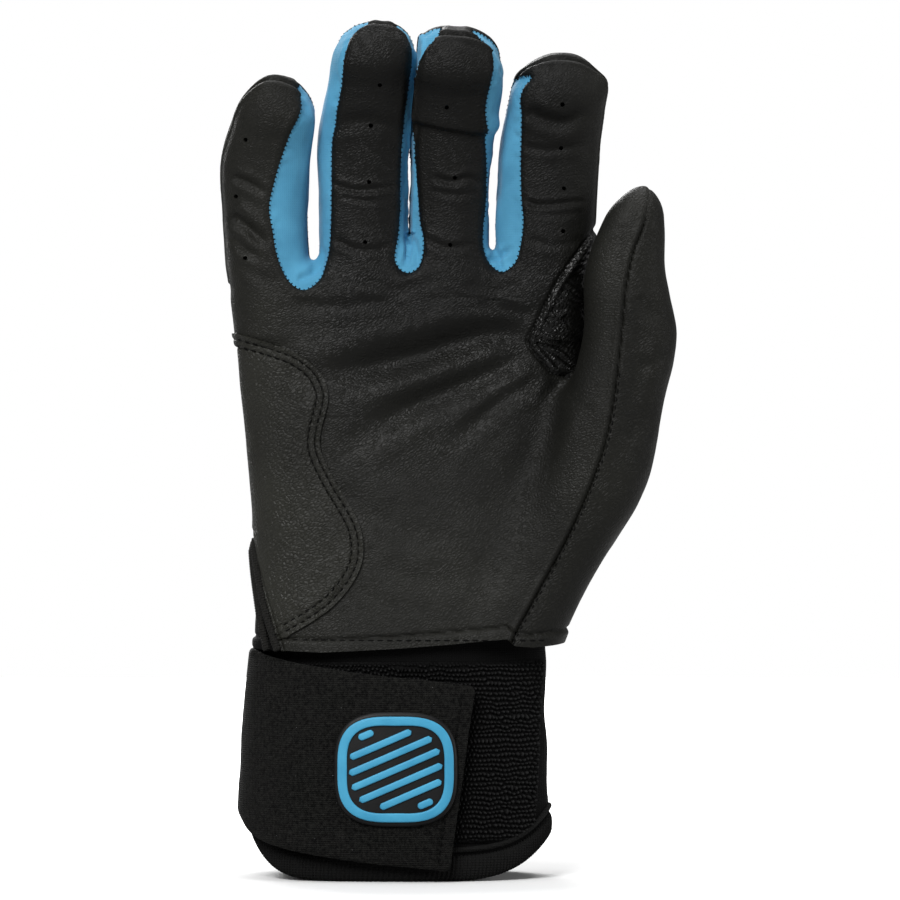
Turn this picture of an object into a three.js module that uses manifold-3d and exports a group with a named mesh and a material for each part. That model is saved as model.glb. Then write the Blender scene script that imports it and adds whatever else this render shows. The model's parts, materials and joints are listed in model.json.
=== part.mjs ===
// A batting glove for the right hand, standing on its cuff with the fingers up.
// Millimetres. +Z runs from the cuff to the fingertips, -Y is the palm side, +X the thumb side.
// The origin is the middle of the hand opening, on the plane that the cuff stands on.

import * as THREE from 'three';
import Module from 'manifold-3d';

const wasm = await Module();
wasm.setup();

// Materials and clearances
const LEATHER = 1.2; // thickness of the palm, back and thumb leather
const STRETCH = 1.0; // thickness of the blue stretch knit
const NEOPRENE = 2.4; // thickness of the cuff sleeve
const SEAM = 0.4; // gap left between two panels that are sewn together
const LAYER = 0.3; // gap left between two layers that lie on each other

// Heights
const HEM = 63.5; // lower edge of the palm leather
const KNUCKLE = 173; // crease where the fingers bend
const THUMB_BEND = 138.5; // crease where the thumb bends
const CUFF_TUCK = 7.5; // how far the cuff sleeve is tucked up inside the hem
const CUFF_TOP = HEM + CUFF_TUCK;
const CUFF_LIP = 2; // lower edge of the sleeve, inside its binding
const CUT_OVER = 3.5; // how far the cutting outlines reach past the hem
const RIM_RISE = 9; // the rim is higher at both sides of the wrist than in front

// Hand between the hem and the finger crease: height, ulnar side, thumb side, front, back
const HAND = [
  [HEM, -40.6, 42.2, -21.2, 22.2],
  [80, -40.4, 44, -19.4, 19.5],
  [100, -41, 47.5, -17.6, 17],
  [120, -42.3, 50, -16, 15.5],
  [140, -45, 51.5, -14.4, 14.5],
  [160, -46.6, 52, -13, 13.3],
  [KNUCKLE, -48.2, 52.6, -12, 12.3],
];
const HAND_SQUARENESS = 2.7;

// Fingers: spine from the crease to the tip, with heights above the crease, half widths and half
// depths along it, tip round, and where the front leather ends on each side, as a share of the
// half width. An edge of 1 is a side seam without a stretch strip.
const FINGERS = {
  pinky: {
    spine: [[-36.5, 0, 0], [-36.9, -0.8, 13], [-36.7, -4, 26], [-35.2, -9, 38], [-35.4, -15, 47]],
    half: [11.9, 12.2, 12.3, 11, 8.6],
    depth: [11.4, 10.8, 10.3, 9.6, 8.4],
    round: 13,
    left: [1, 1, 1, 1, 1],
    right: [0.2, 0.12, 0.35, 0.6, 1],
  },
  ring: {
    spine: [[-10.6, 0, 0], [-10.1, -0.8, 16], [-9.5, -3, 32], [-8, -8, 48], [-5.9, -15, 61.3]],
    half: [12.1, 11.7, 11.6, 11.3, 10.2],
    depth: [11.5, 11, 10.6, 10.2, 9.4],
    round: 10,
    left: [0.72, 0.72, 0.72, 0.8, 1],
    right: [0.8, 0.85, 0.85, 0.9, 1],
  },
  middle: {
    spine: [[13.9, 0, 0], [14.1, -0.8, 16], [15.2, -4, 32], [15.8, -10.5, 47], [15.3, -19.5, 58.6]],
    half: [11.2, 11.2, 11.9, 11.8, 10.6],
    depth: [11.5, 11, 10.6, 10.4, 9.6],
    round: 10,
    left: [0.7, 0.78, 0.8, 0.85, 1],
    right: [0.75, 0.85, 0.85, 0.7, 1],
  },
  index: {
    spine: [[39.6, 0, 0], [40.3, -0.4, 15], [41.3, -2.5, 30], [43, -7, 43.5], [44.4, -12, 53.4]],
    half: [12.7, 13.5, 13.5, 12.9, 11.6],
    depth: [11.5, 11, 10.6, 10.2, 9.4],
    round: 10,
    left: [0.45, 0.5, 0.5, 0.6, 1],
    right: [1, 1, 1, 1, 1],
  },
};
const FINGER_SQUARENESS = 2.5;
const LEVEL_BASE = 0.2; // share of a finger's length over which its sections turn from level
const STRIP_BACK = 0.8; // the stretch strips reach this share of the half width on the back
const STRIP_END = 0.86; // share of the finger's length where the strips taper out

// Thumb: spine from the heel of the hand to the tip, half widths and half depths
const THUMB = {
  spine: [[31, -5, HEM - 5.5], [40.5, -6, 84], [53, -8.5, 108], [59.2, -10.5, 131], [62.8, -12, 149],
    [62.2, -13, 166], [64, -14, 179], [68, -15.5, 189.6]],
  half: [12.5, 13.2, 14.4, 13.4, 13.5, 11.2, 9.3, 6.6],
  depth: [14.5, 14, 14, 13, 11.6, 10.4, 9, 6.8],
  round: 8,
};
// Seam between the palm leather and the leather that wraps the thumb: position and height
const THUMB_SEAM = [[28.6, HEM - CUT_OVER], [31.1, HEM + 3.1], [39.9, 82.8], [48.7, 100.1],
  [56.1, 119.4], [60, 141.4], [61.1, 155], [64.6, 175.7], [68.2, 192]];
const THUMB_SEAM_BEND = 59.7; // position of that seam at the thumb crease
const THUMB_SIDE_SEAM = -11.5; // depth at which the two thumb leathers meet on the hidden side
const SIDE_PANEL_BACK = 6; // how far the thumb side panel wraps round to the back

// Stretch gores that close the valleys between the fingers: middle, bottom height, half width
const GORES = {
  crotch_pinky_ring: [-24, KNUCKLE - 11, 4.6],
  crotch_ring_middle: [2.1, KNUCKLE - 6.4, 3.6],
  crotch_middle_index: [26, KNUCKLE - 6.4, 4.2],
};

// Keystone gusset between the thumb and the index finger
const ABOVE_CREASE = KNUCKLE + 7; // cutting outlines of the hand end here, past the finger crease
const GUSSET = [[52.8, ABOVE_CREASE], [48.1, 171.6], [42.6, 163.4], [37.1, 152.4], [35.2, 147.7],
  [39.9, 141.4], [44, THUMB_BEND], [62, THUMB_BEND], [62, ABOVE_CREASE]];

// Heel patch outline, from the ulnar side over the palm to the slit
const HEEL_PATCH = [[-45.1, 150.2], [-34.4, 146.9], [-24.5, 142], [-19.8, 132.5], [-21.7, 120],
  [-17.9, 109.7], [-11.2, 98], [-10.4, 86.4], [-17.9, 75.4], [-27, HEM + 5.5]];
const PATCH_HEM = 3; // the patch ends this far above the hem

// Slit at the ulnar side of the wrist, with its bound edge
const SLIT = [[-41.6, 93], [-38.6, 79], [-32.2, HEM]];
const BINDING_HALF = 1.5;
const SLIT_CLEAR = 1; // the palm leather starts this far above the slit

// Knuckle band across the back
const BAND_HIGH = KNUCKLE - 11;
const BAND_HEIGHT = 16;
const BAND_LOW = BAND_HIGH - BAND_HEIGHT;
const BAND_HALF = 42;
const BAND_FRONT = 3; // depth behind which the band lies

// Cuff: height, half width, half depth
const CUFF = [
  [0, 39.6, 23.4],
  [24, 40, 22.8],
  [48, 39.8, 21],
  [HEM, 39, 19.4],
  [CUFF_TOP, 38.4, 18.6],
];
const CUFF_SQUARENESS = 2.3;
const RIM_FLAT = 0.66; // share of the half width over which the rim lies flat
const RIM_BINDING = 1.0; // thickness of the tape folded over the rim
const RIM_HEIGHT = 7.6; // height of the folded tape

// Loop patch, strap and badge. Turns are degrees round the cuff, from the front to the thumb side
const LOOP = 1.4; // thickness of the loop pile
const LOOP_FROM = 4;
const LOOP_TO = 84;
const LOOP_LOW = 10.5;
const LOOP_HIGH = 57.5;
const STRAP = 1.8; // thickness of the elastic
const HOOK = 1.0; // thickness of the hook tape
const STRAP_WIDTH = 52;
const STRAP_FOLD = -76; // where the loose end folds away from the cuff
const FOLD_GAP = 0.6; // turn left open between the two lengths of the strap
const STRAP_END = 30;
const STRAP_ANCHOR = -214; // sewn end, round the back
const STRAP_BELOW_HEM = 0.5; // gap between the hem and the strap at its fold
const STRAP_LOW_FOLD = HEM - STRAP_BELOW_HEM - STRAP_WIDTH;
const STRAP_LOW_END = 2;
const STRAP_CORNER = 3; // how far the corners of the loose end are cut in
const STRAP_CORNER_TURN = 4.6;
const HOOK_FROM = 6;
const HOOK_TO = STRAP_END - 1.5;
const HOOK_INSET = 3; // the hook tape stays this far inside the strap's edges
const BADGE_TURN = 3;
const BADGE_HEIGHT = 31.5;
const BADGE_HALF_WIDTH = 17.2;
const BADGE_HALF_HEIGHT = 15.4;
const BADGE = 1.2; // thickness of the rubber badge
const BADGE_RIM = 0.7; // how far the coloured rim stands above the badge
const BADGE_RIM_WIDTH = 2.6;
const BADGE_RIM_INSET = 1.2; // the coloured rim lies this far inside the badge's edge
const BADGE_RIM_GAP = 0.1; // clearance between the badge and its rim
const BADGE_SQUARENESS = 3;

// Smooth function through a list of [position, value] pairs
function through(pairs) {
  const curve = new THREE.SplineCurve(pairs.map(([at, value]) => new THREE.Vector2(at, value)));
  return (at) => {
    const last = pairs.length - 1;
    const next = pairs.findIndex(([p]) => p >= at);
    if (next <= 0) {
      return next === 0 ? pairs[0][1] : pairs[last][1];
    }
    const [from, to] = [pairs[next - 1][0], pairs[next][0]];
    let [low, high] = [(next - 1) / last, next / last];
    for (let i = 0; i < 24; i += 1) {
      const middle = (low + high) / 2;
      if (curve.getPoint(middle).x < at) {
        low = middle;
      } else {
        high = middle;
      }
    }
    return to > from ? curve.getPoint(low).y : pairs[next][1];
  };
}

const evenly = (values) => through(values.map((value, i) => [i / (values.length - 1), value]));
const steps = (from, to, count) => {
  return Array.from({ length: count + 1 }, (_, i) => from + ((to - from) * i) / count);
};
const power = (value, squareness) => Math.sign(value) * Math.abs(value) ** (2 / squareness);

// A rounded oblong section: turn 0 faces the palm side, positive turns go to the thumb side
function oblong(turn, half, front, back, squareness) {
  const deep = Math.cos(turn) > 0 ? front : back;
  return [half * power(Math.sin(turn), squareness), -deep * power(Math.cos(turn), squareness)];
}

// Loop to fill the end of a sweep with: the strip itself, or a circle for a tube of one offset
function flatLoop(pairs) {
  const tube = pairs.every(([, offset]) => offset === pairs[0][1]);
  const flat = ([v, offset]) => (tube ? [Math.cos(v), Math.sin(v)] : [v, offset]);
  return pairs.map((pair) => new THREE.Vector2(...flat(pair)));
}

// Solid swept through a list of stations. profile(u) is a closed loop of [v, offset] pairs and
// surface(u, v, offset) gives the point. A closed sweep joins the last station to the first.
function sweep(surface, stations, profile, closed = false) {
  const points = [];
  const known = new Map();
  const faces = [];
  const vertex = (p) => {
    const key = [p.x, p.y, p.z].map((n) => Math.round(n * 1e4)).join();
    if (!known.has(key)) {
      known.set(key, points.length);
      points.push(p);
    }
    return known.get(key);
  };
  const face = (a, b, c) => {
    if (a !== b && b !== c && c !== a) {
      faces.push(a, b, c);
    }
  };
  const rings = stations.map((u) => profile(u).map(([v, offset]) => vertex(surface(u, v, offset))));
  const pairs = closed ? rings.length : rings.length - 1;
  for (let i = 0; i < pairs; i += 1) {
    const near = rings[i];
    const far = rings[(i + 1) % rings.length];
    for (let j = 0; j < near.length; j += 1) {
      const k = (j + 1) % near.length;
      face(near[j], near[k], far[k]);
      face(near[j], far[k], far[j]);
    }
  }
  if (!closed) {
    for (const [at, ring] of [[0, rings[0]], [stations.length - 1, rings[rings.length - 1]]]) {
      const loop = flatLoop(profile(stations[at]));
      const flip = at === 0 ? 1 : -1;
      const side = THREE.ShapeUtils.isClockWise(loop) ? -flip : flip;
      for (const [a, b, c] of THREE.ShapeUtils.triangulateShape(loop, [])) {
        if (side > 0) {
          face(ring[c], ring[b], ring[a]);
        } else {
          face(ring[a], ring[b], ring[c]);
        }
      }
    }
  }
  const geometry = new THREE.BufferGeometry();
  geometry.setAttribute('position', new THREE.Float32BufferAttribute(points.flatMap((p) => p.toArray()), 3));
  let volume = 0;
  for (let i = 0; i < faces.length; i += 3) {
    const [a, b, c] = [points[faces[i]], points[faces[i + 1]], points[faces[i + 2]]];
    volume += a.dot(b.clone().cross(c));
  }
  geometry.setIndex(volume < 0 ? faces.reverse() : faces);
  return geometry;
}

// Loop of [v, offset] pairs round a strip from v0 to v1 and from one offset to another
function strip(v0, v1, count, low, high) {
  const row = steps(v0, v1, count);
  return [...row.map((v) => [v, high]), ...row.reverse().map((v) => [v, low])];
}

// Tube round a bent spine, such as a finger. Sections lie across the spine and keep to the X axis,
// and the first one is level
function limb({ spine, half, depth, round }) {
  const points = spine.map((p) => new THREE.Vector3(...p));
  const curve = new THREE.CatmullRomCurve3(points, false, 'centripetal');
  const halfAt = evenly(half);
  const depthAt = evenly(depth);
  const tip = curve.getPoint(1);
  const last = points[points.length - 2].distanceTo(tip) * (points.length - 1);
  return (u, turn, offset) => {
    const along = u * (1 + offset / last);
    const middle = curve.getPoint(Math.min(along, 1));
    const over = Math.max(along - 1, 0) * last;
    const slope = curve.getTangent(Math.min(along, 1));
    const lean = Math.min(1, u / LEVEL_BASE);
    const tangent = new THREE.Vector3(0, slope.y * lean, slope.z).normalize();
    const toTip = Math.min(1, curve.getPoint(u).distanceTo(tip) / round);
    const dome = Math.sqrt(1 - (1 - toTip) ** 2);
    const deep = (depthAt(u) + offset) * dome;
    const [x, y] = oblong(turn, (halfAt(u) + offset) * dome, deep, deep, FINGER_SQUARENESS);
    const front = new THREE.Vector3(0, tangent.z, -tangent.y);
    const point = middle.clone().addScaledVector(tangent, over).addScaledVector(front, y);
    return point.setX(point.x + x);
  };
}

// Solid manifold bodies from geometry and back
function body(geometry) {
  const plain = geometry.index ? geometry.toNonIndexed() : geometry;
  const mesh = new wasm.Mesh({
    numProp: 3,
    vertProperties: new Float32Array(plain.attributes.position.array),
    triVerts: Uint32Array.from({ length: plain.attributes.position.count }, (_, i) => i),
  });
  mesh.merge();
  return new wasm.Manifold(mesh);
}

function geometryOf(solid) {
  const parts = solid.decompose().sort((a, b) => b.volume() - a.volume());
  const mesh = parts[0].simplify(0.02).getMesh();
  const geometry = new THREE.BufferGeometry();
  geometry.setAttribute('position', new THREE.Float32BufferAttribute(mesh.vertProperties, 3));
  geometry.setIndex([...mesh.triVerts]);
  return geometry;
}

// Block with an outline in the front view, reaching from one depth to another
function block(outline, front, back) {
  const points = (list) => list.map((p) => new THREE.Vector2(...p));
  const shape = outline instanceof THREE.Shape ? outline : new THREE.Shape(points(outline));
  const cutter = { depth: back - front, bevelEnabled: false, curveSegments: 8 };
  const geometry = new THREE.ExtrudeGeometry(shape, cutter);
  return body(geometry.rotateX(Math.PI / 2).translate(0, back, 0));
}

const FAR = 120; // past the glove on every side
const between = (low, high) => block([[-FAR, low], [FAR, low], [FAR, high], [-FAR, high]], -FAR, FAR);

const group = new THREE.Group();
const looks = {
  leather: { color: 0x262522, roughness: 0.55, metalness: 0 },
  overlay: { color: 0x23221f, roughness: 0.5, metalness: 0 },
  stretch: { color: 0x4f9fc4, roughness: 0.85, metalness: 0 },
  knit: { color: 0x191919, roughness: 0.9, metalness: 0 },
  neoprene: { color: 0x141414, roughness: 0.8, metalness: 0 },
  tape: { color: 0x101010, roughness: 0.85, metalness: 0 },
  pile: { color: 0x161616, roughness: 0.95, metalness: 0 },
  elastic: { color: 0x121212, roughness: 0.9, metalness: 0 },
  hook: { color: 0x1b1b1b, roughness: 0.6, metalness: 0 },
  rubber: { color: 0x17181a, roughness: 0.45, metalness: 0 },
  rim: { color: 0x3d8fb8, roughness: 0.4, metalness: 0 },
};

function add(name, look, shape) {
  const geometry = shape.isBufferGeometry ? shape : geometryOf(shape);
  const mesh = new THREE.Mesh(geometry, new THREE.MeshStandardMaterial(looks[look]));
  mesh.name = name;
  group.add(mesh);
}

// Fingers: front leather, back leather and the stretch strips that join them at the sides
const TIP_STATIONS = [0, 0.2, 0.4, 0.58, 0.72, 0.83, 0.91, 0.965, 1];
const turnOf = (share) => Math.asin(Math.min(1, Math.abs(share) ** (FINGER_SQUARENESS / 2)));

function addFinger(name, finger) {
  const spine = finger.spine.map(([x, y, height]) => [x, y, KNUCKLE + height]);
  const surface = limb({ ...finger, spine });
  const lift = new THREE.Vector3(0, 0, SEAM);
  const leftEdge = evenly(finger.left);
  const rightEdge = evenly(finger.right);
  const halfAt = evenly(finger.half);
  const apart = (u) => (1.5 * SEAM) / halfAt(u);
  const panel = (shift) => (u, turn, offset) => {
    const point = surface(u, turn, offset).add(lift);
    return point.add(new THREE.Vector3(0, shift, 0));
  };
  const frontTurns = (u) => [-turnOf(leftEdge(u)), turnOf(rightEdge(u))];
  const strips = { left: finger.left[0] < 1, right: finger.right[0] < 1 };
  const backEdge = (side, u) => {
    const taper = Math.min(1, u / STRIP_END);
    const share = side ? STRIP_BACK + (1 - STRIP_BACK) * taper ** 4 : 1;
    return Math.PI - turnOf(share);
  };
  const front = (u) => {
    const [from, to] = frontTurns(u);
    return strip(from, to, 8, -LEATHER, 0);
  };
  const back = (u) => {
    const to = 2 * Math.PI - backEdge(strips.left, u);
    return strip(backEdge(strips.right, u), to, 8, -LEATHER, 0);
  };
  add(`${name}_front`, 'leather', sweep(panel(-SEAM / 2), TIP_STATIONS, front));
  add(`${name}_back`, 'leather', sweep(panel(SEAM / 2), TIP_STATIONS, back));
  const stripStations = TIP_STATIONS.filter((u) => u < STRIP_END);
  for (const side of ['left', 'right']) {
    if (strips[side]) {
      const sign = side === 'left' ? -1 : 1;
      const edge = side === 'left' ? 0 : 1;
      const range = (u) => {
        const from = Math.abs(frontTurns(u)[edge]) + apart(u);
        const to = Math.max(backEdge(true, u) - apart(u), from + 0.05);
        return strip(sign * from, sign * to, 3, -STRETCH, 0);
      };
      const label = strips.left && strips.right ? `${name}_${side}_strip` : `${name}_strip`;
      add(label, 'stretch', sweep(panel(0), stripStations, range));
    }
  }
}

for (const [name, finger] of Object.entries(FINGERS)) {
  addFinger(name, finger);
}

// Hand: one hollow form of palm and thumb root, cut along the seams into its panels
const handLevel = [1, 2, 3, 4].map((column) => through(HAND.map((row) => [row[0], row[column]])));

function handPoint(height, turn, offset) {
  const [left, right, front, back] = handLevel.map((level) => level(height));
  const half = (right - left) / 2 + offset;
  const [x, y] = oblong(turn, half, offset - front, offset + back, HAND_SQUARENESS);
  return new THREE.Vector3((left + right) / 2 + x, y, height);
}

const ROUND = steps(0, 2 * Math.PI, 40).slice(0, -1);
const HAND_STATIONS = steps(HEM, KNUCKLE, 9);

function handForm(offset, over) {
  const stations = [HEM - over, ...HAND_STATIONS.slice(1, -1), KNUCKLE + over];
  const ring = () => ROUND.map((turn) => [turn, offset]);
  return body(sweep((z, turn, o) => handPoint(z, turn, o), stations, ring));
}

const thumbSurface = limb(THUMB);
const THUMB_STATIONS = [...steps(0, 0.86, 10), 0.91, 0.95, 0.98, 1];

function thumbForm(offset) {
  const ring = () => steps(0, 2 * Math.PI, 20).slice(0, -1).map((turn) => [turn, offset]);
  return body(sweep(thumbSurface, THUMB_STATIONS, ring));
}

const outerHand = handForm(0, 0);
const outerThumb = thumbForm(0);
const hollowThumb = thumbForm(-LEATHER);
const hollow = handForm(-LEATHER, 5).add(hollowThumb.intersect(between(0, THUMB_BEND + SEAM)));
const thumbRoot = outerThumb.intersect(between(HEM, THUMB_BEND));

function goreOutline([middle, bottom, half], top) {
  const shape = new THREE.Shape();
  const centre = bottom + half;
  shape.moveTo(middle - half, top);
  shape.lineTo(middle - half, centre);
  shape.absarc(middle, centre, half, Math.PI, 2 * Math.PI, false);
  shape.lineTo(middle + half, top);
  return shape;
}

const grown = ([middle, bottom, half], by) => [middle, bottom - by, half + by];
let shell = outerHand.add(thumbRoot).subtract(hollow);
for (const gore of Object.values(GORES)) {
  shell = shell.subtract(block(goreOutline(grown(gore, SEAM), KNUCKLE + 1), -FAR, FAR));
}

// Depth of the palm surface at a position across the hand
function palmDepth(x, height) {
  const [left, right, front] = handLevel.map((level) => level(height));
  const share = Math.min(1, Math.abs((x - (left + right) / 2) / ((right - left) / 2)));
  return front * (1 - share ** HAND_SQUARENESS) ** (1 / HAND_SQUARENESS);
}

// Tape that binds the slit, and the room it takes in the panels round it
const tapeLine = new THREE.CatmullRomCurve3(SLIT.map(([x, z]) => new THREE.Vector3(x, palmDepth(x, z), z)));
const tapePoint = (at, turn, radius) => {
  const across = new THREE.Vector3(Math.cos(turn), Math.sin(turn), 0);
  return tapeLine.getPoint(at).addScaledVector(across, radius);
};
const tape = (radius) => {
  const ring = () => steps(0, 2 * Math.PI, 8).slice(0, -1).map((turn) => [turn, radius]);
  return sweep(tapePoint, steps(0, 1, 6), ring);
};
add('slit_binding', 'tape', tape(BINDING_HALF));
const tapeRoom = body(tape(BINDING_HALF + LAYER));

// Cutting outlines of the panels in the front view. A larger `by` cuts wider
const rootSeam = [...THUMB_SEAM.filter(([, z]) => z < THUMB_BEND), [THUMB_SEAM_BEND, THUMB_BEND]];

function palmOutline(by) {
  const slit = SLIT.map(([x, z]) => [x + BINDING_HALF + LAYER - by, z]);
  const seam = rootSeam.map(([x, z]) => [x + by, z]);
  const [slitTop, slitFoot] = [slit[0], slit[slit.length - 1]];
  const slitEnd = slitTop[1] + SLIT_CLEAR - by;
  return [[slitFoot[0], HEM - CUT_OVER], ...seam, [FAR, THUMB_BEND], [FAR, ABOVE_CREASE],
    [-FAR, ABOVE_CREASE], [-FAR, slitEnd], [slitTop[0], slitEnd], ...slit];
}

const palmBlock = (by) => block(palmOutline(by), -FAR, by);
const gussetBlock = (by) => {
  const outline = GUSSET.map(([x, z], i) => [i < 6 ? x - by : x, i > 4 ? z - by : z]);
  return block(outline, -FAR, 0);
};
const sideBlock = (by) => {
  const seam = rootSeam.map(([x, z]) => [x - by, z]);
  return block([...seam, [FAR, THUMB_BEND + by], [FAR, HEM - CUT_OVER]], -FAR, SIDE_PANEL_BACK + by);
};
const bandBlock = (by) => {
  const [half, low, high] = [BAND_HALF + by, BAND_LOW - by, BAND_HIGH + by];
  return block([[-half, low], [half, low], [half, high], [-half, high]], BAND_FRONT - by, FAR);
};

add('palm_panel', 'leather', shell.intersect(palmBlock(0)).subtract(gussetBlock(SEAM)).subtract(tapeRoom));
add('thumb_gusset', 'overlay', shell.intersect(gussetBlock(0)));
add('thumb_side_panel', 'leather', shell.intersect(sideBlock(-SEAM)));
add('knuckle_band', 'knit', shell.intersect(bandBlock(0)));
const slitEdge = SLIT.map(([x, z]) => [x + BINDING_HALF + LAYER, z]);
const slitCut = block([[-FAR, 0], [-FAR, SLIT[0][1]], ...slitEdge], -FAR, 0).add(tapeRoom);
const behind = shell.subtract(palmBlock(SEAM)).subtract(sideBlock(0));
add('back_panel', 'leather', behind.subtract(bandBlock(SEAM)).subtract(slitCut));

for (const [name, gore] of Object.entries(GORES)) {
  const inner = grown(gore, -STRETCH);
  const [front, back] = [handLevel[2](KNUCKLE) + STRETCH, handLevel[3](KNUCKLE) - STRETCH];
  const trough = block(goreOutline(gore, KNUCKLE), front, back);
  add(name, 'stretch', trough.subtract(block(goreOutline(inner, KNUCKLE + 1), -FAR, FAR)));
}

// Heel patch sewn on the palm
const heelShape = new THREE.Shape();
const [heelStart, ...heelEdge] = HEEL_PATCH.map((p) => new THREE.Vector2(...p));
heelShape.moveTo(-FAR, heelStart.y);
heelShape.lineTo(heelStart.x, heelStart.y);
heelShape.splineThru(heelEdge);
for (const [x, z] of [...SLIT].reverse()) {
  heelShape.lineTo(x + BINDING_HALF * 2, Math.max(z, HEM + PATCH_HEM));
}
heelShape.lineTo(-FAR, SLIT[0][1] + 2 * SLIT_CLEAR);
const overlay = handForm(LAYER + LEATHER, 0).subtract(handForm(LAYER, 1));
add('heel_patch', 'overlay', overlay.intersect(block(heelShape, -FAR, -SEAM)).subtract(tapeRoom));

// Thumb beyond its crease: palm-side leather and the leather that wraps the outside
const thumbTube = outerThumb.subtract(hollowThumb).intersect(between(THUMB_BEND + SEAM, 2 * FAR));
const thumbShell = thumbTube.subtract(handForm(SEAM, 0));
const seamLine = through(THUMB_SEAM.map(([x, z]) => [z, x]));
const thumbTop = THUMB_SEAM[THUMB_SEAM.length - 1][1];
const thumbBlock = (by) => {
  const edge = steps(THUMB_BEND, thumbTop, 8).map((z) => [seamLine(z) + by, z]);
  return block([[-FAR, THUMB_BEND], ...edge, [-FAR, thumbTop]], -FAR, THUMB_SIDE_SEAM + by);
};
add('thumb_front', 'leather', thumbShell.intersect(thumbBlock(0)));
add('thumb_back', 'leather', thumbShell.subtract(thumbBlock(SEAM)));

// Cuff sleeve and the tape folded over its rim
const cuffHalf = through(CUFF.map(([z, half]) => [z, half]));
const cuffDepth = through(CUFF.map(([z, , depth]) => [z, depth]));

function cuffPoint(turn, height, offset) {
  const deep = cuffDepth(height) + offset;
  const [x, y] = oblong(turn, cuffHalf(height) + offset, deep, deep, CUFF_SQUARENESS);
  return new THREE.Vector3(x, y, height);
}

function rim(turn) {
  const share = Math.abs(power(Math.sin(turn), CUFF_SQUARENESS));
  return RIM_RISE * Math.max(0, (share - RIM_FLAT) / (1 - RIM_FLAT)) ** 2;
}

const CUFF_STATIONS = [0.48, 0.76].map((share) => share * HEM);
const CUFF_ROUND = steps(0, 2 * Math.PI, 44).slice(0, -1);
const cuffWall = (turn) => {
  const low = rim(turn) + CUFF_LIP;
  const heights = [low, low + RIM_HEIGHT + CUFF_LIP, ...CUFF_STATIONS, HEM, CUFF_TOP];
  return [...heights.map((z) => [z, 0]), ...heights.reverse().map((z) => [z, -NEOPRENE])];
};
add('cuff_sleeve', 'neoprene', sweep(cuffPoint, CUFF_ROUND, cuffWall, true));

const rimTape = (turn) => {
  const low = rim(turn);
  const [inside, outside] = [-NEOPRENE - LAYER, LAYER];
  const floor = low + CUFF_LIP - LAYER;
  const top = low + RIM_HEIGHT;
  return [[low, outside + RIM_BINDING], [top, outside + RIM_BINDING], [top, outside], [floor, outside],
    [floor, inside], [top, inside], [top, inside - RIM_BINDING], [low, inside - RIM_BINDING]];
};
add('rim_binding', 'tape', sweep(cuffPoint, CUFF_ROUND, rimTape, true));

// Loop patch, strap and badge, as layers that follow the cuff
const turns = (from, to, count) => steps(from, to, count).map(THREE.MathUtils.degToRad);
const loopLow = (turn) => Math.max(LOOP_LOW, rim(turn) + RIM_HEIGHT + SEAM);
const loopLayer = (turn) => strip(loopLow(turn), LOOP_HIGH, 3, LAYER, LAYER + LOOP);
add('loop_patch', 'pile', sweep(cuffPoint, turns(LOOP_FROM, LOOP_TO, 10), loopLayer));

const HOOK_LIFT = LAYER + LOOP + LAYER;
const STRAP_LIFT = HOOK_LIFT + HOOK + LAYER;
const fold = THREE.MathUtils.degToRad(STRAP_FOLD);
const end = THREE.MathUtils.degToRad(STRAP_END);
const anchor = THREE.MathUtils.degToRad(STRAP_ANCHOR);
const strapLow = (turn) => {
  const share = THREE.MathUtils.clamp((turn - fold) / (end - fold), 0, 1);
  return STRAP_LOW_FOLD + (STRAP_LOW_END - STRAP_LOW_FOLD) * share;
};
const strapLayer = (turn, lift, inset) => {
  const low = strapLow(turn);
  return strip(low + inset, low + STRAP_WIDTH - inset, 3, lift, lift + STRAP);
};
const corner = THREE.MathUtils.degToRad(STRAP_CORNER_TURN);
const cornerInset = (turn) => STRAP_CORNER * Math.max(0, 1 - (end - turn) / corner) ** 2;
const flapTurns = [
  ...turns(STRAP_FOLD, STRAP_END - STRAP_CORNER_TURN, 13),
  ...turns(STRAP_END - STRAP_CORNER_TURN / 2, STRAP_END, 2),
];
const flapLayer = (turn) => strapLayer(turn, STRAP_LIFT, cornerInset(turn));
add('strap_flap', 'elastic', sweep(cuffPoint, flapTurns, flapLayer));

const hookLayer = (turn) => {
  const low = strapLow(turn) + HOOK_INSET + RIM_HEIGHT;
  const high = strapLow(turn) + STRAP_WIDTH - HOOK_INSET;
  return strip(low, high, 3, HOOK_LIFT, HOOK_LIFT + HOOK);
};
add('hook_tab', 'hook', sweep(cuffPoint, turns(HOOK_FROM, HOOK_TO, 4), hookLayer));

const anchorLift = (turn) => {
  const share = THREE.MathUtils.clamp((turn - anchor) / (fold - anchor), 0, 1);
  return LAYER + RIM_BINDING + LAYER + (STRAP_LIFT - 2 * LAYER - RIM_BINDING) * share;
};
const anchorTurns = turns(STRAP_ANCHOR, STRAP_FOLD - FOLD_GAP, 16);
const anchorLayer = (turn) => strapLayer(turn, anchorLift(turn), 0);
add('strap_anchor', 'elastic', sweep(cuffPoint, anchorTurns, anchorLayer));

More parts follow.
